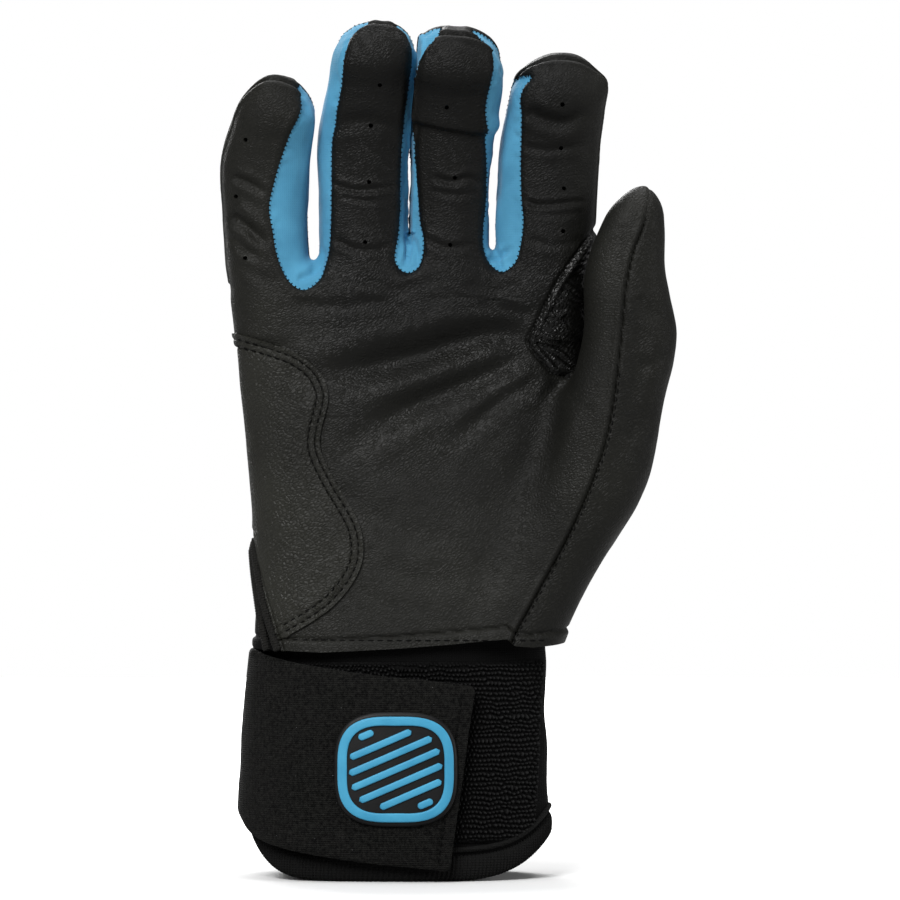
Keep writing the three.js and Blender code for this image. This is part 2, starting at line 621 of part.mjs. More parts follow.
const badgeTurn = THREE.MathUtils.degToRad(BADGE_TURN);
const BADGE_LIFT = STRAP_LIFT + STRAP + LAYER;
const badgeRadius = (angle) => {
  const across = Math.abs(Math.cos(angle) / BADGE_HALF_WIDTH) ** BADGE_SQUARENESS;
  const up = Math.abs(Math.sin(angle) / BADGE_HALF_HEIGHT) ** BADGE_SQUARENESS;
  return (across + up) ** (-1 / BADGE_SQUARENESS);
};
const badgePoint = (angle, radius, offset) => {
  const turn = badgeTurn + (radius * Math.cos(angle)) / (cuffHalf(BADGE_HEIGHT) + BADGE_LIFT);
  return cuffPoint(turn, BADGE_HEIGHT + radius * Math.sin(angle), BADGE_LIFT + offset);
};
const BADGE_ROUND = steps(0, 2 * Math.PI, 36).slice(0, -1);
const badgeDisc = (angle) => {
  const row = [0, 0.35, 0.7, 1].map((share) => share * badgeRadius(angle));
  return [...row.map((r) => [r, BADGE]), ...row.reverse().map((r) => [r, 0])];
};
add('badge_base', 'rubber', sweep(badgePoint, BADGE_ROUND, badgeDisc, true));
const badgeRim = (angle) => {
  const outer = badgeRadius(angle) - BADGE_RIM_INSET;
  const inner = outer - BADGE_RIM_WIDTH;
  const low = BADGE + BADGE_RIM_GAP;
  return [[inner, low], [outer, low], [outer, low + BADGE_RIM], [inner, low + BADGE_RIM]];
};
add('badge_rim', 'rim', sweep(badgePoint, BADGE_ROUND, badgeRim, true));

export default group;
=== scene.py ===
# %% [markdown]
# # A batting glove, made panel by panel
# A batting glove is a thin leather skin that keeps the form of a hand. It is cut from many
# panels, so the lesson follows the maker: first the form, then the cuts along the seams, then
# the folds and stitches, and at the end the cuff with its strap. The packed CAD model gives the
# frame: every piece below is placed in its millimetres, and the pieces that ride on a body move
# with it.

import json
import math
from functools import partial

import bpy
import numpy as np
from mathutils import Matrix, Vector
from mathutils.bvhtree import BVHTree

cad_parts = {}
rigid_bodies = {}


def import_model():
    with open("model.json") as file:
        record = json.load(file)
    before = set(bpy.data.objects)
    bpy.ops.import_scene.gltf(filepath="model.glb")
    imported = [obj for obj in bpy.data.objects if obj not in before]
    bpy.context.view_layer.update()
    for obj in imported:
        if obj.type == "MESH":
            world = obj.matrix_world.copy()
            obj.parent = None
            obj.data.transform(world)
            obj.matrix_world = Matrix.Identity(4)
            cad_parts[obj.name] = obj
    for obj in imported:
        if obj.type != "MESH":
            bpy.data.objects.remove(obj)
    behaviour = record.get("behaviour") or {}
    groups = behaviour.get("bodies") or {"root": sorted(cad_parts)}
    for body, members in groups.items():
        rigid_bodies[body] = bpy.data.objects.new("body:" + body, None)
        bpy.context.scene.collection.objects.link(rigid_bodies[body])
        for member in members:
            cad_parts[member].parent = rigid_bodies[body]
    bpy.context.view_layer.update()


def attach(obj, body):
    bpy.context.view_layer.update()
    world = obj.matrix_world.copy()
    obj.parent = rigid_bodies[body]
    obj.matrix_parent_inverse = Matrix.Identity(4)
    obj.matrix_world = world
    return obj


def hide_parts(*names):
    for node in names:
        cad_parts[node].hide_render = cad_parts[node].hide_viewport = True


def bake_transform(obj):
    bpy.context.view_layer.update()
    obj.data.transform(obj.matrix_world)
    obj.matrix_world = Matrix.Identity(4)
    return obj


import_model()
MM = 0.001

# %% [markdown]
# ## The form under the leather
# A filled glove has soft joins between the fingers and the palm, which are hard to get from
# single tubes. One way is to model a hand by sculpting. Here the hand is a distance field: each
# finger is a bent tube with an oblong section, the palm is a wide one, and a soft minimum melts
# them together. The sizes are those of the CAD model, from the cuff at 0 to the tips at 236 mm.
# A limb has a spine, half its width and half its depth at even steps along it, and a round tip.

# %% Sizes of the hand form, in millimetres
FINGER_CUT = 178.0
THUMB_CUT = 141.0
HAND_ROWS = (60.0, 180.0)
HAND_LEFT = [-41.0, -40.6, -40.2, -42.0, -44.2, -44.8, -46.0]
HAND_RIGHT = [41.0, 43.6, 47.5, 50.0, 51.5, 52.0, 52.8]
HAND_FRONT = [21.6, 19.4, 17.6, 16.0, 14.4, 12.8, 11.0]
HAND_BACK = [22.6, 19.5, 17.0, 15.5, 14.5, 13.3, 11.8]
FINGERS = {
    "pinky": dict(
        spine=[(-34.8, 0, 150), (-36, 0, 166), (-36.9, -0.8, 182),
               (-36.7, -4, 198), (-34, -9, 211), (-34.2, -15, 220)],
        half=[10, 11.4, 11.7, 12.3, 11.1, 7.6],
        depth=[10, 11.6, 11.2, 10.4, 9.6, 8.2],
        round=13),
    "ring": dict(
        spine=[(-10.8, 0, 150), (-10.5, 0, 168), (-10.4, -0.8, 186),
               (-10.2, -3, 204), (-8, -8, 221), (-5.9, -15, 234.8)],
        half=[10.5, 12.4, 12.5, 13.1, 12, 10.6],
        depth=[10, 11.8, 11.4, 10.8, 10.2, 9.4],
        round=10),
    "middle": dict(
        spine=[(13.9, 0, 150), (13.6, 0, 168), (13.6, -0.8, 186),
               (14.3, -4, 204), (16, -10.5, 220), (14.2, -19.5, 232)],
        half=[10, 11.1, 11.1, 12.1, 12.9, 11.6],
        depth=[10, 11.8, 11.4, 10.8, 10.5, 9.6],
        round=10),
    "index": dict(
        spine=[(38.6, 0, 150), (39.3, 0, 168), (40, -0.4, 186),
               (41.1, -2.5, 203), (43, -7, 216.5), (44.4, -12, 226.4)],
        half=[11, 12.8, 13.8, 13.8, 13.2, 11.2],
        depth=[10, 11.8, 11.4, 10.8, 10.3, 9.3],
        round=11.5),
}
THUMB = dict(
    spine=[(28.5, -5, 58), (40.5, -6, 84), (53, -8.5, 108), (59, -10.5, 131),
           (63.2, -12, 149), (62, -13, 166), (63.9, -14, 179), (66.6, -15.5, 190)],
    half=[11, 13.2, 14.4, 13.4, 12.6, 10.8, 8.5, 5.2],
    depth=[14, 14, 14, 13, 11.6, 10.4, 8.9, 6.2],
    round=8)
LIMBS = {**FINGERS, "thumb": THUMB}


def ease(values, at):
    """Smooth curve through evenly spaced values, read at 0 to 1."""
    values = np.asarray(values, float)
    last = len(values) - 1
    s = np.clip(np.asarray(at, float), 0, 1) * last
    i = np.clip(s.astype(int), 0, last - 1)
    f = (s - i)[..., None] if values.ndim > 1 else s - i
    before, a = values[np.maximum(i - 1, 0)], values[i]
    b, after = values[i + 1], values[np.minimum(i + 2, last)]
    second = 2 * before - 5 * a + 4 * b - after
    third = 3 * (a - b) + after - before
    return a + 0.5 * f * (b - before + f * (second + f * third))


print("hand form:", len(FINGERS), "fingers and a thumb")

# %% [markdown]
# ## Fields of the fingers and the palm
# For a point beside a finger we need three numbers: how far along the bent spine it lies, how
# far in front of the spine, and how far to the side. The spine bends only forward, so the first
# two are found in the side view alone, which keeps the work small.

# %% Field of a bent finger
SPINE_STEPS = 80
FAR = 1e9
LIMB_SQUARE = 2.5
ROOT_CLOSING = 12
MIDDLE_LEAST = 0.05


def running_length(line):
    """Length along a line, from its start to each of its points."""
    return np.concatenate([[0], np.cumsum(np.linalg.norm(np.diff(line, axis=0), axis=1))])


def place_on(limb, y, z):
    """Where points of the side view lie on a limb: share of its length, distance in front, length left."""
    share = np.linspace(0, 1, SPINE_STEPS)
    spine = ease(limb["spine"], share)
    speed = np.gradient(spine[:, 1:], share, axis=0)
    pace = np.linalg.norm(speed, axis=1)
    nearest = np.zeros(np.shape(y), int)
    best = np.full(np.shape(y), FAR)
    for i, (_, sy, sz) in enumerate(spine):
        gap = (y - sy) ** 2 + (z - sz) ** 2
        closer = gap < best
        nearest[closer] = i
        best[closer] = gap[closer]
    dy, dz = y - spine[nearest, 1], z - spine[nearest, 2]
    ty, tz = speed[nearest, 0] / pace[nearest], speed[nearest, 1] / pace[nearest]
    at = share[nearest] + (dy * ty + dz * tz) / pace[nearest]
    length = running_length(spine[:, 1:])
    left = length[-1] - np.interp(at, share, length) - np.maximum(at - 1, 0) * pace[-1]
    return at, dy * -tz + dz * ty, left


def oblong(side, front, half, depth, squareness, dome):
    """Distance from an oblong section, with a dome added where it closes."""
    a, b = np.abs(side) / half, np.abs(front) / depth
    q = np.maximum((a**squareness + b**squareness) ** (1 / squareness), MIDDLE_LEAST)
    grow = np.hypot(a ** (squareness - 1) / half, b ** (squareness - 1) / depth) * q ** (1 - squareness)
    return (np.hypot(q, dome) - 1) / np.maximum(grow, 1 / np.maximum(half, depth))


def limb_field(limb, x, place):
    """Distance of points from a limb, below zero inside it."""
    at, front, left = place
    side = x - ease(np.array(limb["spine"])[:, 0], at)
    dome = np.clip(1 - left / limb["round"], 0, None) + np.clip(-ROOT_CLOSING * at, 0, None)
    return oblong(side, front, ease(limb["half"], at), ease(limb["depth"], at), LIMB_SQUARE, dome)


def melt(a, b, reach):
    """Soft minimum of two fields, which rounds the corner where they meet."""
    h = np.maximum(reach - np.abs(a - b), 0) / reach
    return np.minimum(a, b) - h * h * reach / 4


ring_place = place_on(FINGERS["ring"], np.array([0.0]), np.array([190.0]))
print("field inside the ring finger:", limb_field(FINGERS["ring"], np.array([-10.0]), ring_place).round(1))

# %% [markdown]
# ## The whole hand as one field
# The palm ends in a rounded top, lower at the little finger and at the index finger, so that the
# valleys between the fingers get their depth. Neighbouring fingers keep a thin gap. Above its
# crease the thumb stays clear of the palm too, because there it moves on its own.

# %% Field of the hand
PALM_TOP = [(-40, 171.5), (-25, 172.5), (-10, 173.5), (2, 174.6), (15, 174.6), (28, 174), (60, 171.5)]
PALM_DOME = 13
PALM_SQUARE = 2.7
PART_GAP = 0.5
PART_LEAN = (0.0, 0.09, 0.0)
FINGER_MELT = 5.0
THUMB_CLEAR, CLEAR_FADE, NO_LIMIT = 1.3, 30, -99
THUMB_MELT, THUMB_MELT_LOSS, THUMB_MELT_FROM = 10, 9.6, 132


def height_at(line, x):
    """Height of a drawn line at places across the hand."""
    return np.interp(x, *np.array(line).T)


def palm_field(x, y, z):
    """Distance of points from the palm."""
    at = (z - HAND_ROWS[0]) / (HAND_ROWS[1] - HAND_ROWS[0])
    left, right = ease(HAND_LEFT, at), ease(HAND_RIGHT, at)
    depth = np.where(y < 0, ease(HAND_FRONT, at), ease(HAND_BACK, at))
    dome = np.clip(1 + (z - height_at(PALM_TOP, x)) / PALM_DOME, 0, None)
    return oblong(x - (left + right) / 2, y, (right - left) / 2, depth, PALM_SQUARE, dome)


def part_neighbours(fields, y):
    """Keeps neighbouring fingers a gap apart. The gap leans, so it does not show from the front."""
    parted = list(fields)
    for i, lean in enumerate(PART_LEAN):
        apart = (fields[i] - fields[i + 1]) / 2 + lean * y
        parted[i] = np.maximum(parted[i], apart + PART_GAP)
        parted[i + 1] = np.maximum(parted[i + 1], PART_GAP - apart)
    return parted


def glove_fields(x, y, z, places):
    """Fields of the hand with its fingers, of the thumb, and of both with a soft join below the crease."""
    fields = [limb_field(limb, x, places[name]) for name, limb in FINGERS.items()]
    fingers = np.minimum.reduce(part_neighbours(fields, y))
    hand = melt(palm_field(x, y, z), fingers, FINGER_MELT)
    thumb = limb_field(THUMB, x, places["thumb"])
    above = np.clip((z - THUMB_CUT + 1) / 2, 0, 1)
    limit = np.where(above > 0, THUMB_CLEAR - hand - CLEAR_FADE * (1 - above), NO_LIMIT)
    thumb = np.maximum(thumb, limit)
    nearing = np.clip((z - THUMB_MELT_FROM) / (THUMB_CUT - THUMB_MELT_FROM), 0, 1)
    return hand, thumb, melt(hand, thumb, THUMB_MELT - THUMB_MELT_LOSS * nearing)


print("top of the palm under the ring finger:", height_at(PALM_TOP, -10), "mm")

# %% [markdown]
# ### Filling the grid
# The field is now read at every point of a grid. A finer grid keeps more of the form and takes
# more time, so its step is the one number to change for a quick try.

# %% Fill the grid
STEP = 0.48
SLAB = 24
grid_low, grid_high = np.array([-53.0, -30.0, 60.0]), np.array([79.5, 26.5, 239.5])
count = ((grid_high - grid_low) / STEP).astype(int)
xs, ys, zs = (grid_low[i] + STEP * np.arange(count[i]) for i in range(3))
side_y, side_z = np.meshgrid(ys, zs, indexing="ij")
places = {name: place_on(limb, side_y, side_z) for name, limb in LIMBS.items()}
field = np.empty((len(xs), len(ys), len(zs)), np.float32)
for start in range(0, len(xs), SLAB):
    slab = xs[start : start + SLAB, None, None]
    field[start : start + SLAB] = glove_fields(slab, side_y[None], side_z[None], places)[2]
print("field of", field.shape, "points")

# %% [markdown]
# ## From field to mesh
# The surface is where the field is zero. Each cell of the grid that the surface crosses gets one
# point, the middle of its edge crossings, and four neighbours make a face. This is the method of
# surface nets. A step along the slope then puts each point exactly on the surface, so the light
# runs over it without ripples.

# %% Mesh of the zero surface
TINY = 1e-12
CORNERS = [(i, j, k) for i in (0, 1) for j in (0, 1) for k in (0, 1)]
CELL_EDGES = [(a, b) for a in range(8) for b in range(a + 1, 8)
              if np.abs(np.subtract(CORNERS[a], CORNERS[b])).sum() == 1]


def net_points(field):
    """The grid cells that the surface crosses, numbered, and a point in each."""
    inside = field < 0
    nx, ny, nz = (n - 1 for n in field.shape)
    total = sum(inside[i : nx + i, j : ny + j, k : nz + k].astype(np.int8) for i, j, k in CORNERS)
    cells = np.argwhere((total > 0) & (total < len(CORNERS)))
    number = np.full((nx, ny, nz), -1, np.int32)
    number[tuple(cells.T)] = np.arange(len(cells))
    values = np.stack([field[tuple((cells + corner).T)] for corner in CORNERS])
    crossings, hits = np.zeros((len(cells), 3)), np.zeros(len(cells))
    for a, b in CELL_EDGES:
        crossed = (values[a] < 0) != (values[b] < 0)
        share = np.where(crossed, values[a] / (values[a] - values[b] + TINY), 0)[:, None]
        crossings += crossed[:, None] * (np.array(CORNERS[a]) * (1 - share) + np.array(CORNERS[b]) * share)
        hits += crossed
    return number, cells + crossings / hits[:, None]


def net_faces(inside, number):
    """A face between the four cells round every grid edge that the surface crosses."""
    quads = []
    for axis in range(3):
        here, beyond = [slice(1, -1)] * 3, [slice(1, -1)] * 3
        here[axis], beyond[axis] = slice(0, -1), slice(1, None)
        changes = inside[tuple(here)] != inside[tuple(beyond)]
        spots = np.argwhere(changes) + [0 if i == axis else 1 for i in range(3)]
        u, v = np.roll(np.eye(3, dtype=int), -axis - 1, axis=0)[:2]
        ring = np.stack([number[tuple((spots - d).T)] for d in (u + v, v, 0 * u, u)], 1)
        entering = ~inside[tuple(spots.T)]
        ring[entering] = ring[entering][:, ::-1]
        quads.append(ring)
    return np.concatenate(quads)


def read_field(field, points):
    """Field and slope between the grid points."""
    base = np.clip(points.astype(int), 0, np.array(field.shape) - 2)
    f = points - base
    value, slope = np.zeros(len(points)), np.zeros((len(points), 3))
    for corner in CORNERS:
        at_corner = field[tuple((base + corner).T)]
        w = np.where(corner, f, 1 - f)
        sign = np.where(corner, 1.0, -1.0)
        others = np.stack([w[:, 1] * w[:, 2], w[:, 0] * w[:, 2], w[:, 0] * w[:, 1]], 1)
        value += at_corner * w.prod(1)
        slope += at_corner[:, None] * sign * others
    return value, slope


number, points = net_points(field)
quads = net_faces(field < 0, number)
for _ in range(3):
    value, slope = read_field(field, points)
    points -= (value / np.maximum((slope**2).sum(1), 1e-6))[:, None] * slope
skin = grid_low + STEP * points
faces = np.concatenate([quads[:, [0, 1, 2]], quads[:, [0, 2, 3]]])
print("skin:", len(skin), "points,", len(faces), "triangles, top at", skin[:, 2].max().round(1))

# %% [markdown]
# ## Seams drawn on the form
# A pattern cutter draws the seams on a form before cutting. We do the same with numbers: for
# every point of the skin a seam value says how far it lies inside a panel, in millimetres, and
# zero is the seam itself. Most seams are drawn in the front view, in (x, z).

# %% Seam drawing helpers
NEAR = 9
NOISE_CELLS = 32


def read_line(line, along, at):
    """Points of a line at given lengths along it."""
    return np.stack([np.interp(at, along, line[:, i]) for i in range(line.shape[1])], 1)


def smooth_line(points, step=0.7):
    """A smooth curve through the drawn points, in even steps."""
    points = np.asarray(points, float)
    length = np.linalg.norm(np.diff(points, axis=0), axis=1).sum()
    fine = ease(points, np.linspace(0, 1, max(int(length / step * 2), 8)))
    along = running_length(fine)
    return read_line(fine, along, np.linspace(0, along[-1], max(int(along[-1] / step), 3)))


def line_distance(line, x, z):
    """Distance in the front view from points to a line, and the share of the line at the nearest place."""
    best, share = np.full(len(x), FAR), np.zeros(len(x))
    left, bottom = line.min(0) - NEAR
    right, top = line.max(0) + NEAR
    near = (x > left) & (x < right) & (z > bottom) & (z < top)
    px, pz, close, along = x[near], z[near], best[near], share[near]
    for i, (a, b) in enumerate(zip(line[:-1], line[1:])):
        d = b - a
        t = np.clip(((px - a[0]) * d[0] + (pz - a[1]) * d[1]) / (d @ d), 0, 1)
        gap = np.hypot(px - a[0] - t * d[0], pz - a[1] - t * d[1])
        nearer = gap < close
        close = np.where(nearer, gap, close)
        along = np.where(nearer, (i + t) / (len(line) - 1), along)
    best[near], share[near] = close, along
    return best, share


def inside_outline(outline, x, z):
    """Distance inside a closed outline of the front view: above zero inside, below zero outside."""
    line = np.vstack([outline, outline[:1]])
    inside = np.zeros(len(x), bool)
    for a, b in zip(line[:-1], line[1:]):
        spans = (a[1] > z) != (b[1] > z)
        if spans.any():
            inside ^= spans & (x < a[0] + (z - a[1]) * (b[0] - a[0]) / (b[1] - a[1] + TINY))
    return np.where(inside, 1, -1) * np.minimum(line_distance(line, x, z)[0], NEAR)


def across_at(line, z):
    """How far across the hand a drawn line lies at given heights."""
    return np.interp(z, *np.array(sorted((b, a) for a, b in line)).T)


def soft_noise(points, size, seed):
    """Smooth random numbers from -1 to 1, with bumps about `size` millimetres wide."""
    table = np.random.default_rng(seed).uniform(-1, 1, [NOISE_CELLS] * 3)
    p = points / size
    cell = np.floor(p).astype(int)
    f = p - cell
    u = f**3 * (f * (6 * f - 15) + 10)
    total = np.zeros(len(points))
    for corner in CORNERS:
        total += np.where(corner, u, 1 - u).prod(1) * table[tuple(((cell + corner) % NOISE_CELLS).T)]
    return total


print("a drawn line of", len(smooth_line([(0, 0), (10, 5), (20, 0)])), "points")

# %% [markdown]
# ## The drawn lines of this glove
# Three stretch gussets run up between the fingers and end in points at the tips. A keystone
# gusset fills the corner of the thumb, a wavy patch protects the heel of the hand, and a bound
# slit opens the little-finger side of the wrist. All points are in millimetres.

# %% Drawn lines
STRIP_OUTLINES = {
    "pinky_ring": [
        (-28.2, 217.4), (-27.4, 211), (-30.3, 204.3), (-32.7, 197.7), (-34.7, 191.1), (-36, 184.5),
        (-35, 177.9), (-33.8, 171.3), (-30.8, 164.7), (-26.7, 162), (-22.6, 164.3), (-20.4, 168.6),
        (-19.2, 175), (-19, 184.5), (-18.9, 201), (-17.3, 210.9), (-16, 217.5), (-14.8, 226),
        (-12.8, 231), (-8.6, 234.8), (-10, 240), (-26, 240)],
    "ring_middle": [
        (-1.4, 234.6), (2, 230), (2.9, 226), (2.2, 217), (1.2, 210), (0.4, 200), (0.2, 186.7),
        (-0.4, 177.9), (-1.5, 171.3), (-0.2, 168), (2.5, 166.8), (5.4, 169), (6.6, 174.6), (5.5, 181.2),
        (4.8, 188), (4.2, 197.7), (4, 207.6), (3.6, 213), (4.7, 218), (5.8, 224.1), (7, 228.4),
        (11.2, 232.6), (10, 240), (0, 240)],
    "middle_index": [
        (19.6, 232.4), (24.2, 228.2), (25.4, 223.6), (24.8, 219), (23.4, 210.9), (24, 203.2),
        (23.9, 191.1), (23.4, 184.5), (22.7, 175.7), (23.8, 171), (26, 168), (28.9, 167.2), (32, 170),
        (33.3, 174.6), (34, 181.2), (33.4, 187.8), (33.2, 197.7), (33.5, 209.3), (33.2, 214.2),
        (34.4, 217.6), (36.2, 220.6), (29.6, 220.9), (29, 230), (28.8, 240), (22, 240)],
}
HEEL_PATCH = [
    (-52, 151.5), (-45.1, 150.2), (-34.4, 146.9), (-27.5, 144.1), (-22.6, 140), (-19.8, 134.5),
    (-19.8, 130.4), (-21.5, 123.5), (-21.7, 118), (-17.9, 109.7), (-13.8, 102.9), (-11, 97.4), (-9.9, 91.9),
    (-10.5, 86.4), (-13.2, 80.9), (-17.9, 75.4), (-23.4, 71.2), (-30.3, 67.1), (-33.4, 65.5)]
PATCH_BEHIND = [(-34, 60), (-60, 60), (-60, 151.5)]
SLIT_TOP = 94.5
SLIT = [(-41.6, SLIT_TOP), (-40.4, 88), (-38.2, 80), (-35.4, 71), (-32.6, 62)]
KEYSTONE = [
    (54.5, 181), (48.1, 171.6), (42.6, 163.4), (37.1, 152.4), (35.2, 147.7), (39.9, 141.4), (44, 138.6),
    (58, 140), (60, 165)]
THUMB_SEAM = [
    (68.8, 195), (68.3, 189), (67, 180.5), (63.8, 172), (61.9, 163), (60.9, 153.5), (59.9, 143.5),
    (58.6, 132.5), (56.3, 120.5), (52.9, 110.2), (48.7, 100.1), (44.3, 91), (39.9, 82.8), (35.8, 75.4),
    (31.1, 66.6), (28.4, 60)]
THUMB_BACK_SEAM = [(66, 196), (60, 170), (56, 150), (53, 138), (49, 120), (44, 100), (38, 80), (31, 60)]
HEM_LINE = [
    (-60, 63.4), (-40, 63.2), (-21, 62.5), (0, 63.6), (14, 64.7), (29.5, 66.2), (31.5, 64.3), (36, 64),
    (46, 65.4), (60, 66)]
VENT_HOLES = [
    (-42.4, 203.2), (-45.2, 187.8), (-42.6, 170.8), (-5.5, 218.1), (-8, 207.1), (-8.5, 191.7), (-9.6, 175.2),
    (12.9, 212), (15.1, 192.8), (13.8, 174.4), (44.6, 212.9), (44.3, 201), (45.1, 190), (44.8, 178.2)]
VENT_RADIUS = 0.62
PATCH_ROWS = (1.5, 3.3)

strip_lines = {name: smooth_line(points) for name, points in STRIP_OUTLINES.items()}
patch_line, keystone_line, thumb_line = map(smooth_line, (HEEL_PATCH, KEYSTONE, THUMB_SEAM))
print("lines drawn:", len(strip_lines) + 3, "and", len(VENT_HOLES), "vent holes")

# %% [markdown]
# ## Seam values of every point
# `front` says how far a point lies in front of the middle of its finger, so the side seam of a
# finger is where it is zero. At the tips the fingers bend forward, and the same rule then shows
# the rim of the back leather above the front one, as on the real glove. `roll` moves that rim a
# little to the front.

# %% Where each point lies
FINGER_ROOT = 160
THUMB_ROOT = 95
TIP_LENGTH = 15
x, y, z = skin.T
skin_places = {name: place_on(limb, y, z) for name, limb in LIMBS.items()}
finger_fields = np.stack([limb_field(limb, x, skin_places[name]) for name, limb in FINGERS.items()])
own_finger = np.argmin(part_neighbours(finger_fields, y), 0)
hand_value, thumb_value, _ = glove_fields(x, y, z, skin_places)
on_thumb = (thumb_value < hand_value) & (z > THUMB_ROOT)
front, left = (np.choose(own_finger, [skin_places[name][i] for name in FINGERS]) for i in (1, 2))
tip = np.clip(1 - left / TIP_LENGTH, 0, 1)
roll = np.choose(own_finger, [0.9 + 0.12 * (x + 34), 0.5, 0.9, 2.2])
front = np.where(z < FINGER_ROOT, -y, front - roll * tip**1.5)
thumb_front = skin_places["thumb"][1]
own_front = np.where(on_thumb, thumb_front, front)
print("points on the thumb:", on_thumb.sum(), "points at fingertips:", (tip > 0).sum())

# %% [markdown]
# ## One value for each panel
# Now every panel gets its seam value. A stretch strip reaches 5 mm behind the middle of a finger,
# and on the middle finger's left side it is tucked in, so that its edge hides in the gap. A value
# of -9 means that the panel is not here at all.

# %% Seam values
NOT_HERE = -9.0
STRIP_BEHIND = 5.0
TUCK = 1.6
BAND_ROWS, BAND_HALF, BAND_MIDDLE = (146, 162), 42, 2
PATCH_FROM_SLIT, PATCH_FROM_SIDE = 0.2, 2.2
ON_PALM, NO_HOLE = 6.0, 9.0


def away_from(spot):
    """Distance of all points from a spot of the front view."""
    return np.hypot(x - spot[0], z - spot[1])


tucked = TUCK * np.clip((STRIP_BEHIND - front) / 3, 0, 1) * ((own_finger == 2) & (x < 10))
strip_value = np.max([inside_outline(line, x - tucked, z) for line in strip_lines.values()], 0)
strip_value = np.where(on_thumb, NOT_HERE, np.minimum(strip_value, front + STRIP_BEHIND))
before_thumb = thumb_front > -3
side_value = np.where(before_thumb, x - across_at(thumb_line, z), x - across_at(THUMB_BACK_SEAM, z))
side_value = np.where(on_thumb | (z < THUMB_CUT + 1), side_value, NOT_HERE)
keystone_value = np.minimum(inside_outline(keystone_line, x, z), 2.0 - y)
keystone_value = np.where(on_thumb, NOT_HERE, keystone_value)
slit_value = np.minimum(across_at(SLIT, z) - x, SLIT_TOP - z)
slit_value = np.minimum(slit_value, 0.3 * (SLIT_TOP - z) - y)
patch_edge = inside_outline(np.vstack([patch_line, PATCH_BEHIND]), x, z)
patch_edge = np.where(y < 3, patch_edge, NOT_HERE)
band_value = np.minimum(np.minimum(z - BAND_ROWS[0], BAND_ROWS[1] - z), BAND_HALF - np.abs(x - BAND_MIDDLE))
hole_value = np.min([away_from(spot) for spot in VENT_HOLES], 0) - VENT_RADIUS
seam_values = {
    "strip": strip_value,
    "front": own_front,
    "palm": np.where(on_thumb, ON_PALM, front),
    "side": side_value,
    "keystone": keystone_value,
    "patch": np.minimum(np.minimum(patch_edge, -PATCH_FROM_SLIT - slit_value), -PATCH_FROM_SIDE - y),
    "band": np.where(y > 0, band_value, NOT_HERE),
    "hole": np.where(own_front > 2, hole_value, NO_HOLE),
    "on_thumb": on_thumb,
    "hem": z - height_at(HEM_LINE, x),
    "slit": slit_value,
}
print("points inside each value:", {name: int((value > 0).sum()) for name, value in seam_values.items()})

# %% [markdown]
# ## Creases
# Before cutting, the smooth form gets its relief. Worn creases run across the finger joints and
# out of the corner of the thumb. They could be sculpted by hand. Drawn ones are easier to correct:
# each is a line in the front view, with its depth and width, and it becomes a narrow groove with a
# soft lip on both sides.

